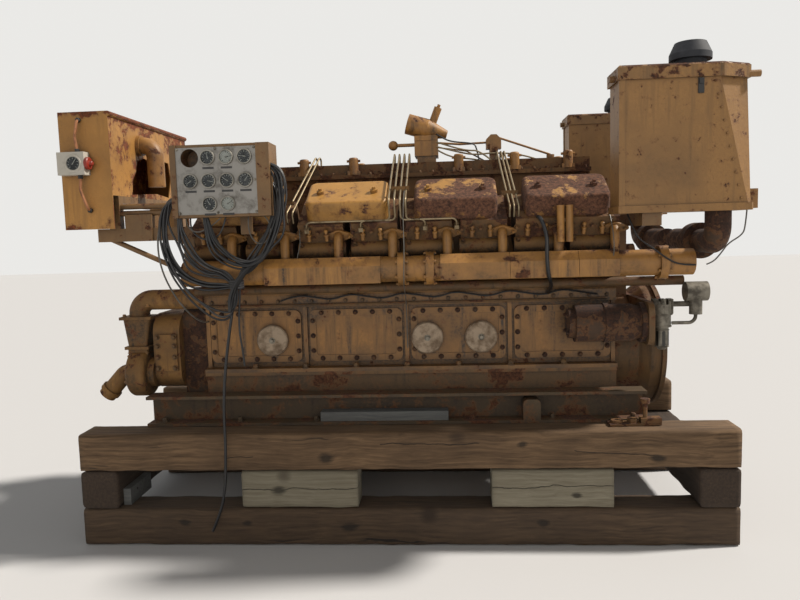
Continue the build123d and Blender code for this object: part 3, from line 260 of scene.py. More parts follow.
def cable(name, route_mm, diameter_mm, sheath, replaced=()):
    """A loose cable. The points along the middle of its curve are read but not used."""
    curve = smooth_curve(name, route_mm, diameter_mm, 3, 10)
    curve.materials.append(sheath)
    piece = bpy.data.objects.new(name, curve)
    scene.collection.objects.link(piece)
    line = curve.copy()
    line.bevel_depth = 0
    probe = bpy.data.objects.new(name + "_probe", line)
    scene.collection.objects.link(probe)
    path = [vertex.co.copy() for vertex in bpy.data.meshes.new_from_object(probe).vertices]
    bpy.data.objects.remove(probe)
    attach(piece, "root")
    if replaced:
        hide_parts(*replaced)


# Each fan has its route, its strands, the turn of its first strand and the CAD bundle it stands for.
fans = {
    "left_outer": (left_outer, 9, 0.0, ("cable_bundle_left",)),
    "left_inner": (left_inner, 7, 0.7, ()),
    "right_outer": (right_outer, 8, 1.3, ("cable_bundle_right",)),
    "right_middle": (right_middle, 7, 2.1, ()),
    "right_inner": (right_inner, 6, 2.9, ()),
}
strand_diameter = 10.5
strand_turn = 2.4
tight_strands = 4
tight_reach = 10
for fan_name, (route, strands, first_turn, bundle) in fans.items():
    for strand in range(strands):
        turn = first_turn + strand * strand_turn
        reach = tight_reach if strand < tight_strands else 15 + 6 * (strand - tight_strands)
        shift = (reach * math.cos(turn), min(reach, 16) * math.sin(turn), reach * math.sin(turn + 0.8))
        # Every third strand is paler, partly dust and partly painted highlight.
        sheath = dust_and_highlight_sheath if strand % 3 == 2 else black_sheath
        stops = strayed(route, shift, 3 * strand, 31 * strand + len(fan_name))
        cable(f"cable_{fan_name}_{strand + 1}", stops, strand_diameter, sheath, bundle if strand == 0 else ())
cable("cable_left_thin", left_thin, 9.0, grey_sheath)
cable("cable_hanging", hanging_route, 15.0, black_sheath, ("hanging_cable",))
cable("cable_short", short_route, 10.0, black_sheath, ("short_cable",))


# Engine enamel.
# Castings and sheet covers brushed and sprayed with yellow machine enamel, decades ago. It is chalky,
# lighter on top where painted shade is left off, dark with oil and grime, with painted shade in the corners,
# and lifts in flakes over red-brown rust.
def enamel(name, paint, faded, rust=0.3, grime_and_shade=0.5, patch=150, gloss=0.4, lean=(0, 0, 0.05),
           oil_z=None, steps=(), rust_tones=("#33221a", "#66402a"), chips=0.5):
    """Old machine enamel. Rust is the share that has lost its paint, with more on faces that lean one way;
    oil_z is the height below which oil has soaked in; steps change the rust past a place on an axis."""
    finish, tree, skin, place = begun_finish(name)
    spot = add(tree, "SeparateXYZ", {}, (place,))
    normal = add(tree, "NewGeometry").outputs["Normal"]
    upward = add(tree, "SeparateXYZ", {}, (normal,)).outputs["Z"]
    leaning = add(tree, "VectorMath", "DOT_PRODUCT", (normal, lean))
    broad = add(tree, "TexNoise", {},
                {"Vector": place, "Scale": fineness(330), "Detail": 6, "Roughness": 0.6})
    patches = add(tree, "TexNoise", {}, {"Vector": place, "Scale": fineness(patch), "Detail": 14,
                                                   "Roughness": 0.68, "Distortion": 0.15})
    flecks = add(tree, "TexNoise", {},
                 {"Vector": place, "Scale": fineness(16), "Detail": 8, "Roughness": 0.7})
    pits = add(tree, "TexNoise", {}, {"Vector": place, "Scale": fineness(5), "Detail": 4, "Roughness": 0.7})
    runs_place = add(tree, "Mapping", {}, {0: place, "Scale": (1.0, 1.0, 0.08)})
    runs = add(tree, "TexNoise", {},
               {"Vector": runs_place, "Scale": fineness(42), "Detail": 8, "Roughness": 0.62})
    # Painted shade: ambient occlusion darkens the corners, creases and hollows where shade falls, mixed with
    # the grime there.
    openness = add(tree, "AmbientOcclusion", {"samples": 5}, {"Distance": 0.13}).outputs["AO"]
    corners = add(tree, "MapRange", {}, (openness, 0.3, 0.92, 1, 0))

    # Chalky paint, then dirt in runs and patches, painted shade with grime in the corners, less of both on the
    # tops so that the sides carry painted shade, and oil from below.
    tone = add(tree, "MapRange", {}, (flecks, 0.36, 0.66, 0, 0.75))
    paint_tone = add(tree, "Mix", in_colour, {0: tone, 6: paint, 7: faded})
    run_share = add(tree, "MapRange", {}, (runs, 0.46, 0.72, 0, 1.1 * grime_and_shade))
    corner_shade_share = add(tree, "Math", "MULTIPLY", (corners, 0.5 + 0.6 * grime_and_shade))
    mottle = add(tree, "MapRange", {}, (broad, 0.4, 0.68, 0, 0.95 * grime_and_shade))
    dirt_and_shade = add(tree, "Math", "MAXIMUM", (run_share, corner_shade_share))
    dirt_and_shade = add(tree, "Math", "MAXIMUM", (dirt_and_shade, mottle))
    speckle = add(tree, "MapRange", {}, (flecks, 0.4, 0.62, 1.15, 0.6))
    dirt_and_shade = add(tree, "Math", {"operation": "MULTIPLY", "use_clamp": True}, (dirt_and_shade, speckle))
    # Painted shade: the darkening is cut to 0.45 on faces that face up, so the tops read lit and the sides
    # shaded.
    side_shade_factor = add(tree, "MapRange", {}, (upward, 0.1, 0.8, 1, 0.45))
    dirt_and_shade = add(tree, "Math", "MULTIPLY", (dirt_and_shade, side_shade_factor))
    if oil_z:
        soaked = add(tree, "Math", "MULTIPLY_ADD", (broad, 0.5, spot.outputs["Z"]))
        soak = add(tree, "MapRange", {}, (soaked, oil_z + 0.32, oil_z + 0.14, 0, 0.85))
        dirt_and_shade = add(tree, "Math", "MAXIMUM", (dirt_and_shade, soak))
    # The dark brown stands for grime, oil and painted shade together.
    dirty_and_shaded = add(tree, "Mix", in_colour, {0: dirt_and_shade, 6: paint_tone, 7: "#2c2117"})

    # Paint is lost where the level of the patches passes a line, with a brown rim around each.
    level = add(tree, "Math", "ADD", (leaning, patches))
    for axis, start, width, change in steps:
        step = add(tree, "MapRange", {"interpolation_type": "SMOOTHSTEP"},
                   (spot.outputs[axis], start - width, start + width, 0, change))
        level = add(tree, "Math", "ADD", (level, step))
    level = add(tree, "Math", "MULTIPLY_ADD", (flecks, 0.22 * chips, level))
    line = 0.64 - 0.3 * rust + 0.11 * chips
    bare = add(tree, "MapRange", {}, (level, line, line + 0.014))
    rim = add(tree, "MapRange", {}, (level, line - 0.07, line, 0, 0.6))
    stained = add(tree, "Mix", in_colour, {0: rim, 6: dirty_and_shaded, 7: "#6b431f"})
    rust_mix = add(tree, "MapRange", {}, (flecks, 0.38, 0.64))
    rust_tone = add(tree, "Mix", in_colour, {0: rust_mix, 6: rust_tones[0], 7: rust_tones[1]})
    whole = add(tree, "Mix", in_colour, {0: bare, 6: stained, 7: rust_tone})
    rough = add(tree, "MapRange", {}, (bare, 0, 1, gloss, 0.86))
    rough = add(tree, "Math", {"operation": "MULTIPLY_ADD", "use_clamp": True}, (pits, 0.22, rough))
    film = add(tree, "Math", "MULTIPLY_ADD", (bare, -0.6, 1.0))
    height = add(tree, "Math", "MULTIPLY_ADD", (flecks, 0.7, film))
    height = add(tree, "Math", "MULTIPLY_ADD", (pits, 0.35, height))
    bump = add(tree, "Bump", {}, {"Strength": 0.8, "Distance": 0.0022, "Height": height})
    feed(tree, skin, {"Base Color": whole, "Roughness": rough, "Normal": bump})
    return finish


def dress(finish, *names):
    """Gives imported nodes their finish."""
    for name in names:
        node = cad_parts[name]
        if not node.data.materials:
            node.data.materials.append(finish)
            continue
        for slot in node.material_slots:
            slot.link = "OBJECT"
            slot.material = finish


yellow = enamel("yellow machine enamel", "#b07f3d", "#94693a", rust=0.1, grime_and_shade=0.85)
case_yellow = enamel("oily crankcase enamel", "#a07137", "#7a582c", rust=0.03, grime_and_shade=0.95, oil_z=0.95, patch=90)
# Painted shade: a darker copy of the yellow enamel for the panel box, air box stand and brackets, darkened to
# stand for the shade they lie in.
shaded_panel_yellow = enamel("yellow sheet enamel in painted shade", "#7f5f38", "#6f5432", rust=0.1, grime_and_shade=0.55, patch=60, chips=0.7)
box_yellow = enamel("yellow box enamel", "#98703d", "#866236", rust=0.03, grime_and_shade=0.45, patch=50, chips=0.9,
                    steps=((2, 2.27, 0.05, 0.04),), lean=(0, 0, 0.1))
lid_yellow = enamel("yellow lid enamel", "#98703d", "#7c5c36", rust=0.22, grime_and_shade=0.7, patch=60, chips=0.9,
                    steps=((2, 2.352, 0.012, 0.07),), lean=(0, 0, 0.08))
# Painted shade: a darker, greasy copy of the yellow enamel. It is greasy paint on the tappet housings and
# clamps, and painted shade on the gear case, pump, inlet elbow and outlet pipe.
greasy_shaded_yellow = enamel("greasy yellow enamel with painted shade", "#8f6833", "#6f4f29", rust=0.15, grime_and_shade=0.95, gloss=0.6, patch=80)
oily_yellow = enamel("oily yellow enamel", "#6b4f2c", "#5a4327", rust=0.24, grime_and_shade=0.95, gloss=0.55)
rail_finish = enamel("oily base enamel", "#54432c", "#433624", rust=0.2, grime_and_shade=0.95, patch=140, gloss=0.6)
peeling = enamel("peeling yellow enamel", "#b88542", "#a5773a", rust=0.43, grime_and_shade=0.42, patch=110,
                 lean=(0.17, 0, 0.1), rust_tones=("#44281b", "#85492a"),
                 steps=((2, 2.285, 0.025, 0.24), (2, 1.735, 0.04, -0.12), (0, -1.705, 0.03, -0.05)))
rusty_cover = enamel("rusted yellow enamel", "#bd8c45", "#aa7c3c", rust=0.13, grime_and_shade=0.6, patch=110,
                     lean=(0, 0, -0.02), rust_tones=("#38241c", "#75503c"),
                     steps=((0, 0.06, 0.08, 0.14), (0, 0.60, 0.08, 0.06)))
rusted = enamel("rusted through enamel", "#7d5c33", "#67492b", rust=0.4, grime_and_shade=0.85, patch=110, gloss=0.6,
                rust_tones=("#2f2018", "#5c3a28"))
sooty = enamel("sooty rust", "#4a3524", "#3d2c20", rust=0.55, grime_and_shade=0.95, patch=90, gloss=0.7,
               rust_tones=("#241a16", "#472e21"))
dress(yellow, "water_manifold_port", "water_manifold_starboard", "water_risers_port", "water_risers_starboard",
      "injection_pump", "governor", "rack_knob", "filter_canisters", "tank_elbow", "control_linkage",
      "manifold_necks")
dress(case_yellow, "crankcase", "inspection_covers_port", "inspection_covers_starboard")
dress(shaded_panel_yellow, "air_box_stand", "gauge_panel_box", "panel_bracket", "tank_bracket")
dress(box_yellow, "air_box_port", "air_box_starboard")
dress(lid_yellow, "air_box_lids")
# Painted shade on the gear case, pump, elbow and outlet pipe; greasy paint on the tappet housings.
dress(greasy_shaded_yellow, "tappet_housings_port", "tappet_housings_starboard", "front_gear_case", "raw_water_pump",
      "pump_inlet_elbow", "coolant_outlet_pipe")
dress(oily_yellow, "oil_pan", "flywheel_housing", "drain_lines")
dress(rail_finish, "base_rails")
dress(peeling, "expansion_tank")
dress(rusty_cover, "valve_covers_port", "valve_covers_starboard")
dress(rusted, "cylinder_heads_port", "cylinder_heads_starboard", "vee_manifold", "foot_plate")
dress(sooty, "turbochargers", "turbo_inlet_ducts", "air_starter", "accessory_housing", "flywheel")


# Timber crib.
# Eight inch softwood beams, rough sawn, weathered brown and split along the grain, with knots. The
# spacer blocks are younger, paler wood and the packing planks are old grey boards. All are stacked loose.
def sawn_wood(name, pale, dark, stain_tone, grain_axis, shift=(0, 0, 0), crack_line=0.71, knots_mm=(),
              splits_mm=()):
    """Rough sawn softwood: long grain, knots, drying cracks along the grain and a dusty face. Knots are
    given by place along, height and radius, long splits by start, end, height and rise."""
    finish, tree, skin, place = begun_finish(name)
    along = (0.045, 1.0, 1.0) if grain_axis == 0 else (1.0, 0.045, 1.0)
    warp = add(tree, "TexNoise", {}, {"Vector": place, "Scale": fineness(260), "Detail": 2})
    warped = add(tree, "VectorMath", "MULTIPLY_ADD", (warp.outputs["Color"], (0.05, 0.05, 0.05), place))
    grain_place = add(tree, "Mapping", {}, {0: warped, "Location": shift, "Scale": along})
    grain = add(tree, "TexNoise", {},
                {"Vector": grain_place, "Scale": fineness(14), "Detail": 8, "Roughness": 0.62})
    fibre = add(tree, "TexNoise", {}, {"Vector": grain_place, "Scale": fineness(3.5), "Detail": 3})
    knots = add(tree, "TexVoronoi", {}, {"Vector": place, "Scale": fineness(430)})
    knot = add(tree, "MapRange", {}, (knots.outputs["Distance"], 0.05, 0.14, 1, 0))
    stains = add(tree, "TexNoise", {}, {"Vector": place, "Scale": fineness(300), "Detail": 5})
    shade = add(tree, "MapRange", {}, (grain, 0.32, 0.68))
    wood = add(tree, "Mix", in_colour, {0: shade, 6: dark, 7: pale})
    stain = add(tree, "MapRange", {}, (stains, 0.42, 0.7, 0, 0.55))
    stained = add(tree, "Mix", in_colour, {0: stain, 6: wood, 7: stain_tone})
    knotted = add(tree, "Mix", in_colour, {0: knot, 6: stained, 7: "#2c2016"})
    crack_place = add(tree, "Mapping", {},
                      {0: warped, "Location": shift, "Scale": [0.5 * s if s < 1 else s for s in along]})
    cracks = add(tree, "TexNoise", {}, {"Vector": crack_place, "Scale": fineness(42), "Detail": 3})
    marks = add(tree, "MapRange", {}, (cracks, crack_line, crack_line + 0.02, 0, 0.9))
    for x, z, radius in knots_mm:
        flat = add(tree, "Mapping", {}, {0: warped, "Scale": (0.6, 0.0, 1.0)})
        away = add(tree, "VectorMath", "DISTANCE", (flat, (0.6 * x / 1000 + 0.015, 0, z / 1000 + 0.025)))
        rough_away = add(tree, "Math", "MULTIPLY_ADD", (grain, 0.03, away))
        core = add(tree, "MapRange", {},
                   (rough_away, radius / 1000 + 0.015, 2.3 * radius / 1000 + 0.015, 0.8, 0))
        marks = add(tree, "Math", "MAXIMUM", (marks, core))
    for start, end, z, climb in splits_mm:
        spot = add(tree, "SeparateXYZ", {}, (place,))
        bend = add(tree, "TexNoise", {}, {"Vector": place, "Scale": fineness(170), "Detail": 5})
        wave = add(tree, "Math", "MULTIPLY_ADD", (bend, 0.06, z / 1000 - 0.03 - climb * start / 1e6))
        line = add(tree, "Math", "MULTIPLY_ADD", (spot.outputs["X"], climb / 1000, wave))
        off = add(tree, "Math", "SUBTRACT", (spot.outputs["Z"], line))
        off = add(tree, "Math", "ABSOLUTE", (off,))
        thin = add(tree, "MapRange", {}, (off, 0.0012, 0.003, 0.8, 0))
        begun = add(tree, "Math", "GREATER_THAN", (spot.outputs["X"], start / 1000))
        ended = add(tree, "Math", "LESS_THAN", (spot.outputs["X"], end / 1000))
        within = add(tree, "Math", "MULTIPLY", (begun, ended))
        split = add(tree, "Math", "MULTIPLY", (thin, within))
        marks = add(tree, "Math", "MAXIMUM", (marks, split))
    whole = add(tree, "Mix", in_colour, {0: marks, 6: knotted, 7: "#17120d"})
    depth = add(tree, "Math", "MULTIPLY_ADD", (marks, -2.0, grain))
    relief = add(tree, "Math", "MULTIPLY_ADD", (fibre, 0.35, depth))
    bump = add(tree, "Bump", {}, {"Strength": 0.7, "Distance": 0.0035, "Height": relief})
    feed(tree, skin, {"Base Color": whole, "Roughness": 0.88, "Normal": bump})
    return finish


brown_timber = sawn_wood("weathered brown timber", "#7c6349", "#4a3826", "#443425", 0,
                         knots_mm=((-375, 478, 15), (640, 540, 9), (1310, 455, 12)),
                         splits_mm=((-905, -760, 478, 20), (900, 1300, 500, -60), (-90, 420, 545, -15)))
low_timber = sawn_wood("damp brown timber", "#5c4a38", "#392c21", "#352a21", 0, (3.1, 0.4, 0.9),
                       knots_mm=((-1148, 131, 11), (-811, 131, 8), (-272, 98, 13), (744, 120, 10)))
cross_timber = sawn_wood("dark cross timber", "#44362a", "#2c221b", "#261e18", 1, (0.7, 2.2, 0.3))
grey_timber = sawn_wood("pale grey timber", "#8a8473", "#6d6656", "#767060", 0, (1.7, 0.3, 2.4), 0.69,
                        knots_mm=((-636, 300, 12), (905, 272, 9)), splits_mm=((-1400, 1400, 303, 6),))
plank_timber = sawn_wood("aged grey plank", "#6f716f", "#56585a", "#5b5c5b", 0, (0.9, 1.3, 2.0))


def shell_piece(name, shell, finish, replaced=()):
    """Turns built geometry into a piece with outward faces that rides with the engine."""
    bmesh.ops.recalc_face_normals(shell, faces=shell.faces)
    mesh = bpy.data.meshes.new(name)
    shell.to_mesh(mesh)
    shell.free()
    mesh.materials.append(finish)
    mesh.shade_smooth()
    piece = bpy.data.objects.new(name, mesh)
    scene.collection.objects.link(piece)
    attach(piece, "root")
    if replaced:
        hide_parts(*replaced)
    return piece


# A timber's mesh cell, the wear of its long edges, the hollows of its faces and the marks of the saw,
# in metres, and how often the last three come in a metre.
cell, wane, sag, saw_marks = 0.022, 0.007, 0.004, 0.0012
wane_rate, sag_rate, saw_rate = 9.0, 3.1, 38.0


def timber(name, lows, highs, grain_axis, finish, seed, replaced=()):
    """A rough beam: its faces wander a few millimetres inwards and its long edges are worn round."""
    size = [highs[k] - lows[k] for k in range(3)]
    counts = [max(2, round(size[k] / (cell if k != grain_axis else 1.4 * cell))) for k in range(3)]
    shell = bmesh.new()
    made = {}

    def corner(i, j, k):
        key = (i, j, k)
        if key not in made:
            at = [lows[n] + size[n] * key[n] / counts[n] for n in range(3)]
            inward = [0.0, 0.0, 0.0]
            for n in range(3):
                if key[n] in (0, counts[n]):
                    wander = noise.noise(Vector(at) * sag_rate + Vector((seed, n * 7.3, seed * 0.7)))
                    rough = noise.noise(Vector(at) * saw_rate + Vector((n * 3.1, seed, 0)))
                    depth = sag * (0.5 + 0.5 * wander) + saw_marks * (0.5 + 0.5 * rough)
                    inward[n] += depth if key[n] == 0 else -depth
            edges = [n for n in range(3) if n != grain_axis and key[n] in (0, counts[n])]
            if len(edges) == 2:
                worn = wane * (0.6 + 0.6 * noise.noise(Vector(at) * wane_rate + Vector((seed, seed, seed))))
                for n in edges:
                    inward[n] += worn if key[n] == 0 else -worn
            made[key] = shell.verts.new([at[n] + inward[n] for n in range(3)])
        return made[key]

    for axis in range(3):
        first, second = [n for n in range(3) if n != axis]
        for end in (0, counts[axis]):
            for a in range(counts[first]):
                for b in range(counts[second]):
                    ring = []
                    for step_a, step_b in ((0, 0), (1, 0), (1, 1), (0, 1)):
                        key = [0, 0, 0]
                        key[axis], key[first], key[second] = end, a + step_a, b + step_b
                        ring.append(corner(*key))
                    shell.faces.new(ring)
    shell_piece(name, shell, finish, replaced)


# The first timber of each layer stands for the whole CAD node.
crib_low, crib_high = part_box("crib_bottom_beams")
stock = 0.203
for layer, node, finish in ((0, "crib_bottom_beams", low_timber), (2, "crib_top_beams", brown_timber)):
    for side, near, replaced in (("port", crib_low[1], (node,)), ("starboard", crib_high[1] - stock, ())):
        lows, highs = (crib_low[0], near, layer * stock), (crib_high[0], near + stock, (layer + 1) * stock)
        timber(f"beam_{layer}_{side}", lows, highs, 0, finish, layer + near, replaced)
replaced = ("crib_cross_timbers",)
for end, left in (("left", crib_low[0]), ("right", crib_high[0] - stock)):
    timber(f"cross_timber_{end}", (left, crib_low[1], stock), (left + stock, crib_high[1], 2 * stock), 1,
           cross_timber, left, replaced)
    replaced = ()
spacer_low, spacer_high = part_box("crib_spacer_blocks")
spacer_length, spacer_depth = 0.620, 0.180
replaced = ("crib_spacer_blocks",)
for number, left in enumerate((spacer_low[0], spacer_high[0] - spacer_length)):
    for side, near in (("port", spacer_low[1]), ("starboard", spacer_high[1] - spacer_depth)):
        highs = (left + spacer_length, near + spacer_depth, 2 * stock)
        timber(f"spacer_{number}_{side}", (left, near, stock), highs, 0, grey_timber, 5 + number + near,
               replaced)
        replaced = ()
dress(plank_timber, "crib_packing_planks")


# Bright parts.
# The round breather covers are cast aluminium and the gauge plate is brushed sheet, both gone dull. The
# fuel tubes are drawn steel, the air fittings are zinc castings and the rain caps are moulded rubber.
def bare_metal(name, colour, stain, roughness=0.5, metallic=0.85, stain_line=0.5, brushed=0.0):
    """Bare metal gone dull: fine scratches, finger stains and dry water marks."""
    finish, tree, skin, place = begun_finish(name)
    marks = add(tree, "TexNoise", {},
                {"Vector": place, "Scale": fineness(60), "Detail": 8, "Roughness": 0.65})
    share = add(tree, "MapRange", {}, (marks, stain_line, stain_line + 0.2, 0, 0.85))
    tone = add(tree, "Mix", in_colour, {0: share, 6: colour, 7: stain})
    rough = add(tree, "MapRange", {}, (share, 0, 0.85, roughness, 0.8))
    lines_place = add(tree, "Mapping", {}, {0: place, "Scale": (0.03 if brushed else 1.0, 1.0, 1.0)})
    lines = add(tree, "TexNoise", {}, {"Vector": lines_place, "Scale": fineness(1.5), "Detail": 3})
    bump = add(tree, "Bump", {}, {"Strength": 0.25 + brushed, "Distance": 0.0004, "Height": lines})
    feed(tree, skin, {"Base Color": tone, "Metallic": metallic, "Roughness": rough, "Normal": bump})
    return finish


cast_aluminium = bare_metal("weathered cast aluminium", "#9d8c78", "#65523f", 0.65, 0.3, 0.42)
panel_aluminium = bare_metal("brushed aluminium sheet", "#8a8884", "#5f5b55", 0.5, 0.45, 0.5, 0.3)
drawn_steel = bare_metal("drawn steel tube", "#8d7f66", "#5c452c", 0.4, 0.8)
zinc = bare_metal("zinc die casting", "#807b70", "#4c4740", 0.5, 0.6, 0.42)
dress(cast_aluminium, "breather_discs")
dress(panel_aluminium, "gauge_plate", "panel_gauges")
dress(drawn_steel, "fuel_tubes")
dress(zinc, "air_lubricator", "relay_valve")
dress(rubber("black moulded cap", "#1b1e25", "#484a50", 0.72), "rain_caps")


# Bolts and nuts.
# Hexagon bolts with washers close every cover, flange and sheet. Most were sprayed with the castings,
# those of the covers are brown with rust, and a few were renewed in zinc or bare steel.
def bolt_tool():
    """A node tool that stands a washer and a hexagon head on every point, each facing its own way."""
    tool = bpy.data.node_groups.new("bolts on points", "GeometryNodeTree")
    inputs = (("Points", "Geometry"), ("Across Flats", "Float"), ("Head Height", "Float"), ("Seed", "Int"),
              ("Finish", "Material"))
    for name, kind in inputs:
        tool.interface.new_socket(name, in_out="INPUT", socket_type="NodeSocket" + kind)
    tool.interface.new_socket("Bolts", in_out="OUTPUT", socket_type="NodeSocketGeometry")
    given = add(tool, "NodeGroupInput").outputs
    flats = given["Across Flats"]
    corner = add(tool, "Math", "MULTIPLY", (flats, 0.577))
    plate = add(tool, "Math", "MULTIPLY", (flats, 0.78))
    sheet = add(tool, "Math", "MULTIPLY", (flats, 0.24))
    crown_low = add(tool, "Math", "MULTIPLY", (flats, 0.5))
    crown_top = add(tool, "Math", "MULTIPLY", (flats, 0.4))
    tall = given["Head Height"]
    middle = add(tool, "Math", "MULTIPLY", (tall, 0.5))
    head = add(tool, "GeometryNodeMeshCylinder", {}, {"Vertices": 6, "Radius": corner, "Depth": tall})
    lift = add(tool, "CombineXYZ", {}, {"Z": middle})
    head = add(tool, "GeometryNodeTransform", {}, {"Geometry": head.outputs["Mesh"], "Translation": lift})
    crown = add(tool, "GeometryNodeMeshCone", {},
                {"Vertices": 12, "Radius Top": crown_top, "Radius Bottom": crown_low, "Depth": sheet})
    rise = add(tool, "CombineXYZ", {}, {"Z": tall})
    crown = add(tool, "GeometryNodeTransform", {}, {"Geometry": crown.outputs["Mesh"], "Translation": rise})
    washer = add(tool, "GeometryNodeMeshCylinder", {}, {"Vertices": 16, "Radius": plate, "Depth": sheet})
    bolt = add(tool, "GeometryNodeJoinGeometry")
    for part in (head, crown, washer):
        feed(tool, bolt, (part,))
    facing = add(tool, "GeometryNodeInputNamedAttribute", {"data_type": "FLOAT_VECTOR"}, {"Name": "facing"})
    facing = facing.outputs["Attribute"]
    upright = add(tool, "FunctionNodeAlignRotationToVector", {"axis": "Z"}, {"Vector": facing})
    points = add(tool, "GeometryNodeMeshToPoints", {}, {"Mesh": given["Points"]})
    stood = add(tool, "GeometryNodeInstanceOnPoints", {},
                {"Points": points, "Instance": bolt, "Rotation": upright})
    twist = add(tool, "FunctionNodeRandomValue", {"data_type": "FLOAT"}, {2: 0.0, 3: 6.28, 8: given["Seed"]})
    spin = add(tool, "CombineXYZ", {}, {"Z": twist})
    spun = add(tool, "GeometryNodeRotateInstances", {},
               {"Instances": stood, "Rotation": spin, "Local Space": True})
    real = add(tool, "GeometryNodeRealizeInstances", {}, {"Geometry": spun})
    done = add(tool, "GeometryNodeSetMaterial", {}, {"Geometry": real, "Material": given["Finish"]})
    add(tool, "NodeGroupOutput", {}, {"Bolts": done})
    return tool


bolts_on_points = bolt_tool()
bolt_seeds = itertools.count(1)
head_height_share = 0.62


def bolts(name, node, places_mm, facing, flats_mm, finish, reach_mm=60):
    """Stands bolts on a CAD piece, where lines from the given places against the facing meet it."""
    out = Vector(facing).normalized()
    seats = []
    for place in places_mm:
        start = Vector(place) / 1000 + out * reach_mm / 1000
        hit, seat, _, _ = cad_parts[node].ray_cast(start, -out, distance=2 * reach_mm / 1000)
        if hit:
            seats.append(seat)
    piece = mesh_piece(name, seats, [])
    piece.data.attributes.new("facing", "FLOAT_VECTOR", "POINT")
    for value in piece.data.attributes["facing"].data:
        value.vector = out
    tool = piece.modifiers.new("bolts", "NODES")
    tool.node_group = bolts_on_points
    chosen = {"Across Flats": flats_mm / 1000, "Head Height": head_height_share * flats_mm / 1000,
              "Seed": next(bolt_seeds), "Finish": finish}
    for item in bolts_on_points.interface.items_tree:
        if item.in_out == "INPUT" and item.name in chosen:
            tool[item.identifier] = chosen[item.name]
    bpy.context.view_layer.update()
    plain = bpy.data.meshes.new_from_object(piece.evaluated_get(bpy.context.evaluated_depsgraph_get()))
    piece.modifiers.remove(tool)
    piece.data = plain
    if not plain.materials:
        plain.materials.append(finish)
    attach(piece, "root")


def spread(first, last, count):
    """Evenly spaced places from the first to the last."""
    return [first + (last - first) * step / (count - 1) for step in range(count)]


def circle(count, first_degrees, radius):
    """Evenly spaced places on a circle about the origin."""
    turns = [math.radians(360 / count * step + first_degrees) for step in range(count)]
    return [(radius * math.cos(turn), radius * math.sin(turn)) for turn in turns]


sides = (("port", -1), ("starboard", 1))
cylinder_pitch = 280.4
cylinder_middles = [-934.4 + cylinder_pitch * number for number in range(8)]
pair_middles = (-794.2, -233.4, 327.4, 888.2)
manifold_y, manifold_z = 575, 1445
crank_z = 950

# Each inspection cover closes two cylinders, with five bolts along its edges and three up its sides.
cover_half, cover_half_height, cover_middle_z = 239, 127, 1076
top_bolt_reach, side_bolt_reach = 189, 83
cover_rows = (cover_middle_z - cover_half_height, cover_middle_z + cover_half_height)
cover_sides = spread(cover_middle_z - side_bolt_reach, cover_middle_z + side_bolt_reach, 3)
cover_ring = []
for middle in pair_middles:
    for z in cover_rows:
        cover_ring += [(x, z) for x in spread(middle - top_bolt_reach, middle + top_bolt_reach, 5)]
    for x in (middle - cover_half, middle + cover_half):
        cover_ring += [(x, z) for z in cover_sides]

for name, side in sides:
    sideways, upwards, bank_foot = (0, side, 0), (0, 0, 1), (0, side * 0.866, -0.5)
    bolts(f"cover_bolts_{name}", f"inspection_covers_{name}", [(x, side * 370, z) for x, z in cover_ring],
          sideways, 18, sooty)
    bolts(f"breather_nuts_{name}", "breather_discs", [(x, side * 396, 1056) for x in (-699, 160, 452)],
          sideways, 22, zinc)
    bolts(f"base_flange_bolts_{name}", "crankcase",
          [(x + cylinder_pitch / 2, side * 410, 905) for x in cylinder_middles], upwards, 28, oily_yellow)
    bolts(f"shoulder_bolts_{name}", "crankcase", [(x, side * 388, 1272) for x in spread(-1030, 1120, 24)],
          sideways, 15, oily_yellow)
    bolts(f"riser_bolts_{name}", f"water_risers_{name}",
          [(x + 93 + tip, side * 554, 1621) for x in cylinder_middles for tip in (-56, 56)],
          bank_foot, 15, yellow)
    around = [(side * manifold_y + y, manifold_z + z) for y, z in circle(6, 30, 75)]
    for joint in (46, 190, 1350):
        for hand, end, face in (("left", -20, -1), ("right", 20, 1)):
            bolts(f"joint_bolts_{name}_{joint}_{hand}", f"water_manifold_{name}",
                  [(joint + end, y, z) for y, z in around], (face, 0, 0), 15, yellow, reach_mm=18)
    bolts(f"ledge_bolts_{name}", "vee_manifold", [(x, side * 182, 1962) for x in spread(-850, 1050, 28)],
          upwards, 15, rusted)
    bolts(f"tappet_bolts_{name}", f"tappet_housings_{name}",
          [(x + shift, side * 540, 1580) for x in cylinder_middles for shift in (-105, 105)],
          (0, side * 0.75, 0.66), 17, oily_yellow)
    bolts(f"head_bolts_{name}", f"cylinder_heads_{name}",
          [(x + shift, side * 552, 1643) for x in cylinder_middles for shift in (-112, -64, -16)],
          bank_foot, 19, rusted)
    bolts(f"gear_case_bolts_{name}", "front_gear_case",
          [(x, side * 420, z) for x in (-1341, -1245) for z in (916, 978, 1040, 1090)],
          sideways, 20, oily_yellow)
    bolts(f"rail_bolts_{name}", "base_rails", [(x, side * 470, 625) for x in spread(-1300, 1240, 7)],
          upwards, 26, rail_finish)
    # The rivets follow the slanting end of the air box.
    slanting = [(1655 - 138 * (z - 1690) / 610, side * 800, z) for z in spread(1745, 2280, 10)]
    bolts(f"box_rivets_{name}", f"air_box_{name}", slanting, sideways, 9, box_yellow)
bolts("plate_screws", "gauge_plate",
      [(x, -794, z) for x in (-1023, -832, -641) for z in (1755, 2063)] + [(-641, -794, 1909)],
      (0, -1, 0), 9, zinc)
bolts("casting_bolts", "coolant_outlet_pipe",
      [(-1528, -401, 1206), (-1390, -401, 1206), (-1508, -401, 1024), (-1410, -401, 1024)],
      (0, 0, 1), 17, yellow)
bolts("starter_bolts", "air_starter", [(930, -470 + y, 1130 + z) for y, z in circle(4, 45, 60)],
      (-1, 0, 0), 17, sooty)
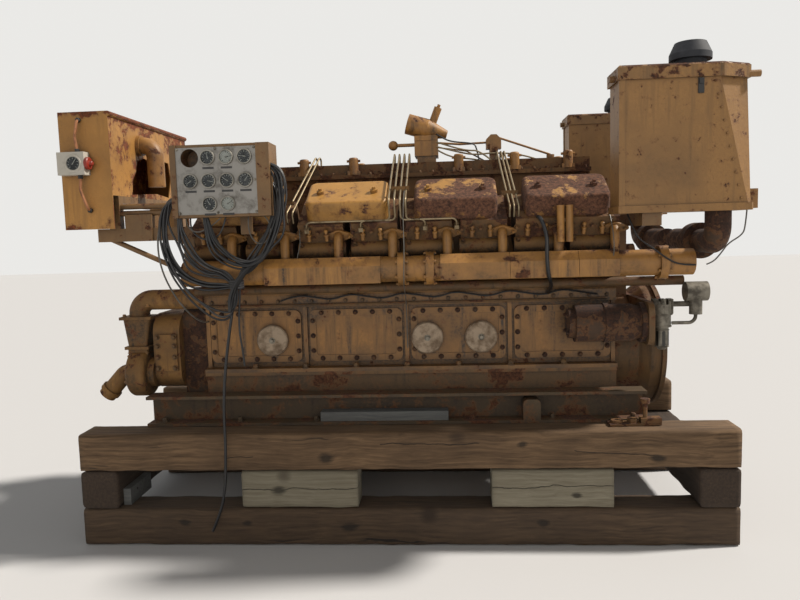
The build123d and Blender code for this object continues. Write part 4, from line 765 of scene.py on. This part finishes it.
bolts("pump_bolts", "raw_water_pump", [(-1515, -355 + y, 885 + z) for y, z in circle(8, 22, 104)],
      (-1, 0, 0), 15, yellow)
bolts("flywheel_bolts", "flywheel", [(1430, y, crank_z + z) for y, z in circle(8, 0, 70)],
      (1, 0, 0), 24, drawn_steel, reach_mm=90)


# Gauges.
# Nine round instruments in the plate, with blank strips below them: dull plated bezel rings rolled from
# sheet, printed faces under flat glass, and thin hands, each at rest in its own place.
sharp_edge = math.radians(38)


def finish_piece(name, shell, finish, replaced=()):
    """Turns a built shell into a closed piece with crisp edges."""
    bmesh.ops.remove_doubles(shell, verts=shell.verts, dist=1e-6)
    shell_piece(name, shell, finish, replaced).data.set_sharp_from_angle(angle=sharp_edge)


def turned(shell, profile_mm, base_mm, axis, steps=32):
    """Adds a turned body: a profile of radius and height pairs, closed on itself or ending on the axis."""
    out = Vector(axis).normalized()
    across = out.orthogonal().normalized()
    over = out.cross(across)
    rings = []
    for radius, height in profile_mm:
        middle = Vector(base_mm) + out * height
        if radius == 0:
            rings.append([shell.verts.new(middle / 1000)] * steps)
            continue
        ring = []
        for step in range(steps):
            turn = 2 * math.pi * step / steps
            spoke = across * math.cos(turn) + over * math.sin(turn)
            ring.append(shell.verts.new((middle + radius * spoke) / 1000))
        rings.append(ring)
    if profile_mm[0][0]:
        rings.append(rings[0])
    for low, high in zip(rings, rings[1:]):
        for step in range(steps):
            after = (step + 1) % steps
            corners = []
            for vert in (low[step], low[after], high[after], high[step]):
                if vert not in corners:
                    corners.append(vert)
            if len(corners) > 2:
                shell.faces.new(corners)


def slab(shell, outline_mm, base_mm, along, up, thickness_mm):
    """Adds a flat plate: an outline in two directions, raised along their cross product."""
    along, up = Vector(along), Vector(up)
    lift = along.cross(up) * thickness_mm
    low = [shell.verts.new((Vector(base_mm) + along * a + up * b) / 1000) for a, b in outline_mm]
    high = [shell.verts.new((Vector(base_mm) + along * a + up * b + lift) / 1000) for a, b in outline_mm]
    shell.faces.new(low[::-1])
    shell.faces.new(high)
    for index in range(len(low)):
        after = (index + 1) % len(low)
        shell.faces.new((low[index], low[after], high[after], high[index]))


def oblong(half_width, half_height):
    """The outline of a rectangle about the origin."""
    return [(half_width * a, half_height * b) for a, b in ((-1, -1), (1, -1), (1, 1), (-1, 1))]


def dial_mark(marks, outline_mm, middle_mm, degrees, thickness_mm):
    """Adds a tick or a hand to a dial: its outline runs outwards at so many degrees from the right."""
    turn = math.radians(degrees)
    along, across = (math.cos(turn), 0, math.sin(turn)), (-math.sin(turn), 0, math.cos(turn))
    slab(marks, outline_mm, middle_mm, along, across, thickness_mm)


dial_glass = bpy.data.materials.new("gauge glass")
dial_glass.use_nodes = True
pane = dial_glass.node_tree
pane.nodes.remove(pane.nodes["Principled BSDF"])
pane_place = add(pane, "TexCoord").outputs["Object"]
dust = add(pane, "TexNoise", {}, {"Vector": pane_place, "Scale": fineness(25)})
haze = add(pane, "MapRange", {}, (dust, 0.4, 0.8, 0.015, 0.06))
clear = add(pane, "BsdfTransparent", {}, ("#eef0f0",))
shine = add(pane, "BsdfGlossy", {}, {"Color": "#b9bcc0", "Roughness": 0.25})
veil = add(pane, "MixShader", {}, (haze, clear, shine))
feed(pane, pane.nodes["Material Output"], {"Surface": veil})

bezel_metal = bare_metal("dull plated bezel", "#8f8c84", "#5b574f", 0.4, 0.6)
face_black = rubber("black printed face", "#131416", "#2a2a2a")
face_pale = rubber("pale printed face", "#c4c4bd", "#9c998f")
mark_white = rubber("white print", "#d6d5ce", "#b3afa3")
mark_dark = rubber("black print", "#202022", "#3a3a3a")
plate_y = -794
dial_left, dial_top, dial_pitch, dial_drop = -962, 2021, 91, 112
first_tick_degrees, tick_degrees = 225, 27
dials = []
for column in range(4):
    for row in range(3):
        if (column, row) not in ((0, 0), (0, 2), (3, 2)):
            is_pale = column == 2 and row != 1
            dials.append((dial_left + dial_pitch * column, dial_top - dial_drop * row, is_pale))
bezels, dark_faces, pale_faces, light_marks, dark_marks, panes = [bmesh.new() for _ in range(6)]
outwards = (0, -1, 0)
for number, (x, z, is_pale) in enumerate(dials):
    turned(bezels, [(31, 0), (37, 0), (37, 9), (35, 13), (31.5, 13), (30, 10)], (x, plate_y, z), outwards, 40)
    faces, marks = (pale_faces, dark_marks) if is_pale else (dark_faces, light_marks)
    turned(faces, [(0, 0), (31, 0), (31, 3), (0, 3)], (x, plate_y, z), outwards, 40)
    for tick in range(11):
        wide = 1.5 if tick % 5 == 0 else 0.8
        outline = [(21, -wide), (28, -wide), (28, wide), (21, wide)]
        dial_mark(marks, outline, (x, plate_y - 3, z), first_tick_degrees - tick_degrees * tick, 0.6)
    hand = [(-6, -1.6), (24, -0.6), (24, 0.6), (-6, 1.6)]
    dial_mark(marks, hand, (x, plate_y - 3.8, z), 215 - 23 * ((number * 5) % 11), 0.8)
    turned(bezels, [(0, 3), (4, 3), (4, 6), (0, 6)], (x, plate_y, z), outwards, 16)
    turned(panes, [(0, 9), (30.5, 9), (30.5, 10.5), (0, 10.5)], (x, plate_y, z), outwards, 32)
finish_piece("gauge_bezels", bezels, bezel_metal, ("panel_gauges",))
finish_piece("gauge_faces_dark", dark_faces, face_black)
finish_piece("gauge_faces_pale", pale_faces, face_pale)
finish_piece("gauge_marks_white", light_marks, mark_white)
finish_piece("gauge_marks_dark", dark_marks, mark_dark)
finish_piece("gauge_panes", panes, dial_glass)
strips = bmesh.new()
for column, row in ((0, 1), (1, 1), (2, 1), (3, 1), (1, 0), (2, 0), (1, 2), (2, 2)):
    slab(strips, oblong(28, 5), (dial_left + dial_pitch * column, plate_y, dial_top - dial_drop * row - 50),
         (1, 0, 0), (0, 0, 1), 0.8)
finish_piece("blank_label_strips", strips, mark_dark)


# Taped wrap and small pipes.
# The cables are gathered in a wrap of overlapping tape turns, with short tails below it. Small copper
# and steel pipes, thin wires and one black hose run over the castings.
wrap_turns = bmesh.new()
wrap_profile = [(0, 0)]
tape_step = 11.5
for turn_number in range(4):
    low = 1 + tape_step * turn_number
    wrap_profile += [(34.5, low), (38, low + 3), (38.2, low + 9), (35, low + 11)]
wrap_profile += [(0, 47.5)]
turned(wrap_turns, wrap_profile, (-785, -712, 1372), (0, 0, 1), 40)
finish_piece("taped_wrap", wrap_turns, rubber("grey black tape", "#26262a", "#57554f"))


def tube(name, stops_mm, diameter_mm, finish):
    """A small pipe or wire along given points, as a closed mesh."""
    shape = bpy.data.objects.new(name + "_curve", smooth_curve(name, stops_mm, diameter_mm, 2, 8))
    scene.collection.objects.link(shape)
    shell = bmesh.new()
    shell.from_mesh(bpy.data.meshes.new_from_object(shape))
    bpy.data.objects.remove(shape)
    finish_piece(name, shell, finish)


copper = bare_metal("tarnished copper tube", "#9a6a4a", "#5c4030", 0.45, 0.6)
for number in range(7):
    turn = strand_turn * number
    shift = (11 * math.cos(turn), 9 * math.sin(turn), 6 * math.cos(turn + 1))
    stops = strayed(tail_route, shift, 5, 71 + number)
    tube(f"cable_tail_{number + 1}", stops, strand_diameter, black_sheath)
for number, sheath in enumerate((black_sheath, dust_and_highlight_sheath, black_sheath)):
    stops = strayed(low_loop, (14 * number, -8 * number, 16 * number), 9, 91 + number)
    tube(f"cable_low_loop_{number + 1}", stops, strand_diameter, sheath)
tube("level_pipe_high", [(-1637, -575, 2092), (-1637, -583, 2130), (-1645, -584, 2175), (-1633, -582, 2225),
                         (-1633, -575, 2262), (-1633, -547, 2266)], 15, copper)
tube("level_pipe_low", [(-1630, -575, 1990), (-1627, -583, 1945), (-1634, -584, 1905), (-1614, -584, 1850),
                        (-1603, -582, 1815), (-1601, -570, 1797), (-1601, -547, 1795)],
     15, copper)
level_housing, level_dark, level_red, level_marks, level_pane = [bmesh.new() for _ in range(5)]
level_x, level_y, level_z = level_middle = (-1648, -609, 2038)
turned(level_housing, [(0, -12), (45, -12), (45, 2), (42, 5), (36, 5), (34, 1), (0, 1)], level_middle,
       outwards, 40)
turned(level_dark, [(0, 1), (33, 1), (33, 2.5), (0, 2.5)], level_middle, outwards, 32)
for tick in range(9):
    outline = [(22, -1), (30, -1), (30, 1), (22, 1)]
    dial_mark(level_marks, outline, (level_x, level_y - 2.5, level_z), 230 - 35 * tick, 0.6)
slab(level_marks, [(-7, -1.6), (25, -0.6), (25, 0.6), (-7, 1.6)], (level_x, level_y - 3.4, level_z),
     (0.6, 0, 0.8), (-0.8, 0, 0.6), 0.8)
turned(level_pane, [(0, 3.6), (34, 3.6), (34, 5), (0, 5)], level_middle, outwards, 32)
turned(level_red, [(0, 0), (30, 0), (33, 4), (33, 17), (29, 21), (14, 21), (12, 24), (12, 34), (9, 37),
                   (0, 37)], (-1592, -582, 2038), (1, 0, 0), 32)
for base, direction in (((-1633, -547, 2266), outwards), ((-1601, -547, 1795), outwards),
                        ((-1637, -578, 2096), (0, 0, 1)), ((-1629, -578, 1979), (0, 0, -1))):
    turned(level_dark, [(0, 0), (13, 0), (13, 16), (10, 19), (0, 19)], base, direction, 6)
white_casting = rubber("white enamelled casting", "#b9b5ab", "#7d776a")
red_casting = rubber("red enamelled cap", "#8e2a1c", "#5d3a30")
dress(white_casting, "level_gauge")
finish_piece("level_gauge_rim", level_housing, white_casting)
finish_piece("level_gauge_face", level_dark, face_black)
finish_piece("level_gauge_cap", level_red, red_casting)
finish_piece("level_gauge_marks", level_marks, mark_white)
finish_piece("level_gauge_pane", level_pane, dial_glass)
tube("ledge_pipe_upper", [(-1040, -397, 1330), (-600, -398, 1326), (0, -397, 1325), (700, -398, 1328),
                          (1060, -397, 1326)], 11, drawn_steel)
tube("ledge_pipe_lower", [(-1050, -398, 1252), (-500, -399, 1250), (200, -398, 1253), (900, -399, 1250),
                          (1120, -398, 1254)], 13, oily_yellow)
ledge_stops = [(-640 + 95 * step, -396 - 4 * (step % 2), 1275 + 16 * ((step * 5) % 3)) for step in range(19)]
tube("ledge_wire", ledge_stops, 8, black_sheath)
tube("side_hose", [(735, -600, 1690), (745, -628, 1690), (772, -672, 1600), (768, -680, 1500),
                   (775, -676, 1400), (800, -600, 1350), (810, -500, 1315), (812, -400, 1290)],
     20, black_sheath)
tube("sensor_wire_left", [(-483, -560, 1665), (-480, -585, 1640), (-474, -600, 1580), (-492, -612, 1520),
                          (-492, -600, 1508)], 5, grey_sheath)
tube("sensor_wire_middle", [(64, -500, 1850), (62, -585, 1810), (60, -620, 1700), (64, -668, 1530),
                            (60, -676, 1440), (56, -640, 1350), (52, -440, 1290), (50, -378, 1180),
                            (50, -374, 1100), (50, -372, 1000)], 5, grey_sheath)
tube("sensor_wire_right", [(1096, -560, 1700), (1098, -600, 1660), (1106, -625, 1563), (1101, -640, 1480),
                           (1095, -632, 1470)], 5, grey_sheath)
tube("panel_loop", [(-700, -735, 1733), (-705, -745, 1660), (-660, -748, 1590), (-600, -745, 1610),
                    (-585, -740, 1700), (-620, -738, 1733)], 6, grey_sheath)


# Guards and fittings on the port and starboard sides.
# A guard of folded sheet covers the right part of each water manifold. Turned fittings stand on the
# tappet housings, sheet clamps hold the fuel tubes, rubber latches hold the lids of the air boxes, and
# thin steel pipes and wires leave the injection pump and the boxes.
guard_fold = [(0, 68), (36, 68), (72.6, 24), (72.6, -58), (76, -58), (76, 26), (38, 71.5), (0, 71.5)]
fitting_profile = [(0, -20), (11, -20), (11, 6), (14, 6), (14, 15), (8, 17), (8, 28), (11, 28), (11, 36),
                   (7, 40), (0, 40)]
for name, side in sides:
    guard = bmesh.new()
    fold = [(side * (manifold_y + out), manifold_z + up) for out, up in guard_fold]
    for left, right in ((243, 590), (592, 930), (932, 1128)):
        slab(guard, fold, (left, 0, 0), (0, 1, 0), (0, 0, 1), right - left)
    finish_piece(f"manifold_guard_{name}", guard, yellow)
    fittings = bmesh.new()
    for x in cylinder_middles:
        for shift, lean in ((-60, 0.05), (32, -0.04)):
            turned(fittings, fitting_profile, (x + shift, side * 566, 1618), (lean, side * 0.35, 0.93), 10)
    finish_piece(f"tappet_fittings_{name}", fittings, yellow)
    latches = bmesh.new()
    slab(latches, oblong(13, 34), (1456, side * 800, 2262), (1, 0, 0), (0, 0, side * -1), 6)
    slab(latches, oblong(9, 12), (1456, side * 806, 2282), (1, 0, 0), (0, 0, side * -1), 5)
    finish_piece(f"lid_latch_{name}", latches, black_sheath)
    clamps = bmesh.new()
    for x, half, z in ((45, 46, 1855), (-545, 30, 1800), (606, 44, 1820)):
        for probe in spread(x - half, x + half, 30):
            hit, touched, _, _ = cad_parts["fuel_tubes"].ray_cast(
                (probe / 1000, side * 0.8, z / 1000), (0, -side, 0), distance=0.7)
            if hit:
                break
        near = side * touched.y * 1000 - 3
        slab(clamps, oblong(half, 11), (x, side * near, z), (1, 0, 0), (0, 0, side * -1), 9)
        for shift in (-half + 9, half - 9):
            turned(clamps, [(0, 0), (6, 0), (6, 6), (0, 6)], (x + shift, side * (near + 9), z), (0, side, 0), 6)
    finish_piece(f"fuel_tube_clamps_{name}", clamps, greasy_shaded_yellow)

pump_pipes = (
    [(230, -120, 2135), (315, -135, 2103), (405, -140, 2078), (470, -140, 2078), (535, -150, 2021)],
    [(230, -110, 2110), (355, -135, 2072), (445, -150, 2052), (546, -140, 2062), (700, -135, 2050),
     (785, -130, 2020)],
    [(232, -105, 2180), (246, -120, 2170), (306, -130, 2132), (440, -130, 2120), (456, -130, 2095),
     (470, -130, 2020)],
    [(232, -90, 2095), (300, -110, 2048), (420, -120, 2036), (500, -110, 2020)],
)
for number, stops in enumerate(pump_pipes):
    tube(f"pump_pipe_{number + 1}", stops, 9, black_sheath if number == 2 else drawn_steel)
tube("box_wire", [(1735, -640, 1695), (1727, -645, 1612), (1716, -640, 1572), (1652, -630, 1532),
                  (1621, -625, 1484), (1589, -610, 1440), (1560, -600, 1430)], 7, grey_sheath)
tube("manifold_wire", [(1171, -620, 1690), (1190, -640, 1629), (1212, -652, 1570), (1285, -655, 1519),
                       (1349, -662, 1468), (1414, -655, 1433), (1495, -640, 1431)],
     8, black_sheath)
tube("loose_wire_left", [(-1016, -735, 1733), (-1016, -740, 1696), (-967, -745, 1655), (-888, -745, 1685),
                         (-836, -740, 1733)], 7, grey_sheath)
tube("loose_wire_middle", [(-1000, -720, 1733), (-1005, -725, 1680), (-943, -735, 1622), (-866, -735, 1630),
                           (-830, -730, 1682), (-818, -728, 1733)], 9, dust_and_highlight_sheath)


# Air lubricator.
# A die-cast zinc head with ribs and a clamp ring. Its clear bowl of oil screws on from below, behind a
# steel guard with long windows.
def around(degrees):
    """The directions outwards from an upright axis and along its turn."""
    turn = math.radians(degrees)
    return Vector((math.cos(turn), math.sin(turn), 0)), Vector((-math.sin(turn), math.cos(turn), 0))


guard_rings, guard_windows = bmesh.new(), bmesh.new()
bowl_x, bowl_y = 1382, -480
for z, radius, height in ((1105, 45, 9), (1168, 50, 8), (1086, 34, 6), (1000, 33, 6)):
    turned(guard_rings, [(radius - 6, 0), (radius + 1, 0), (radius + 3, 2), (radius + 3, height - 2),
                         (radius + 1, height), (radius - 6, height)], (bowl_x, bowl_y, z), (0, 0, 1), 32)
for step in range(12):
    out, across = around(30 * step)
    slab(guard_rings, oblong(4, 30), Vector((bowl_x, bowl_y, 1211)) + 49 * out, across, (0, 0, 1), 4)
for degrees in (-90, -30, -150, 90):
    out, across = around(degrees)
    slab(guard_windows, [(-8, -34), (-4, -39), (4, -39), (8, -34), (8, 34), (4, 39), (-4, 39), (-8, 34)],
         Vector((bowl_x, bowl_y, 1046)) + 32.2 * out, across, (0, 0, 1), 1.6)
finish_piece("lubricator_rings", guard_rings, zinc)
oil = rubber("oil behind a clear bowl", "#1d1b17", "#5b574c")
finish_piece("lubricator_windows", guard_windows, oil)
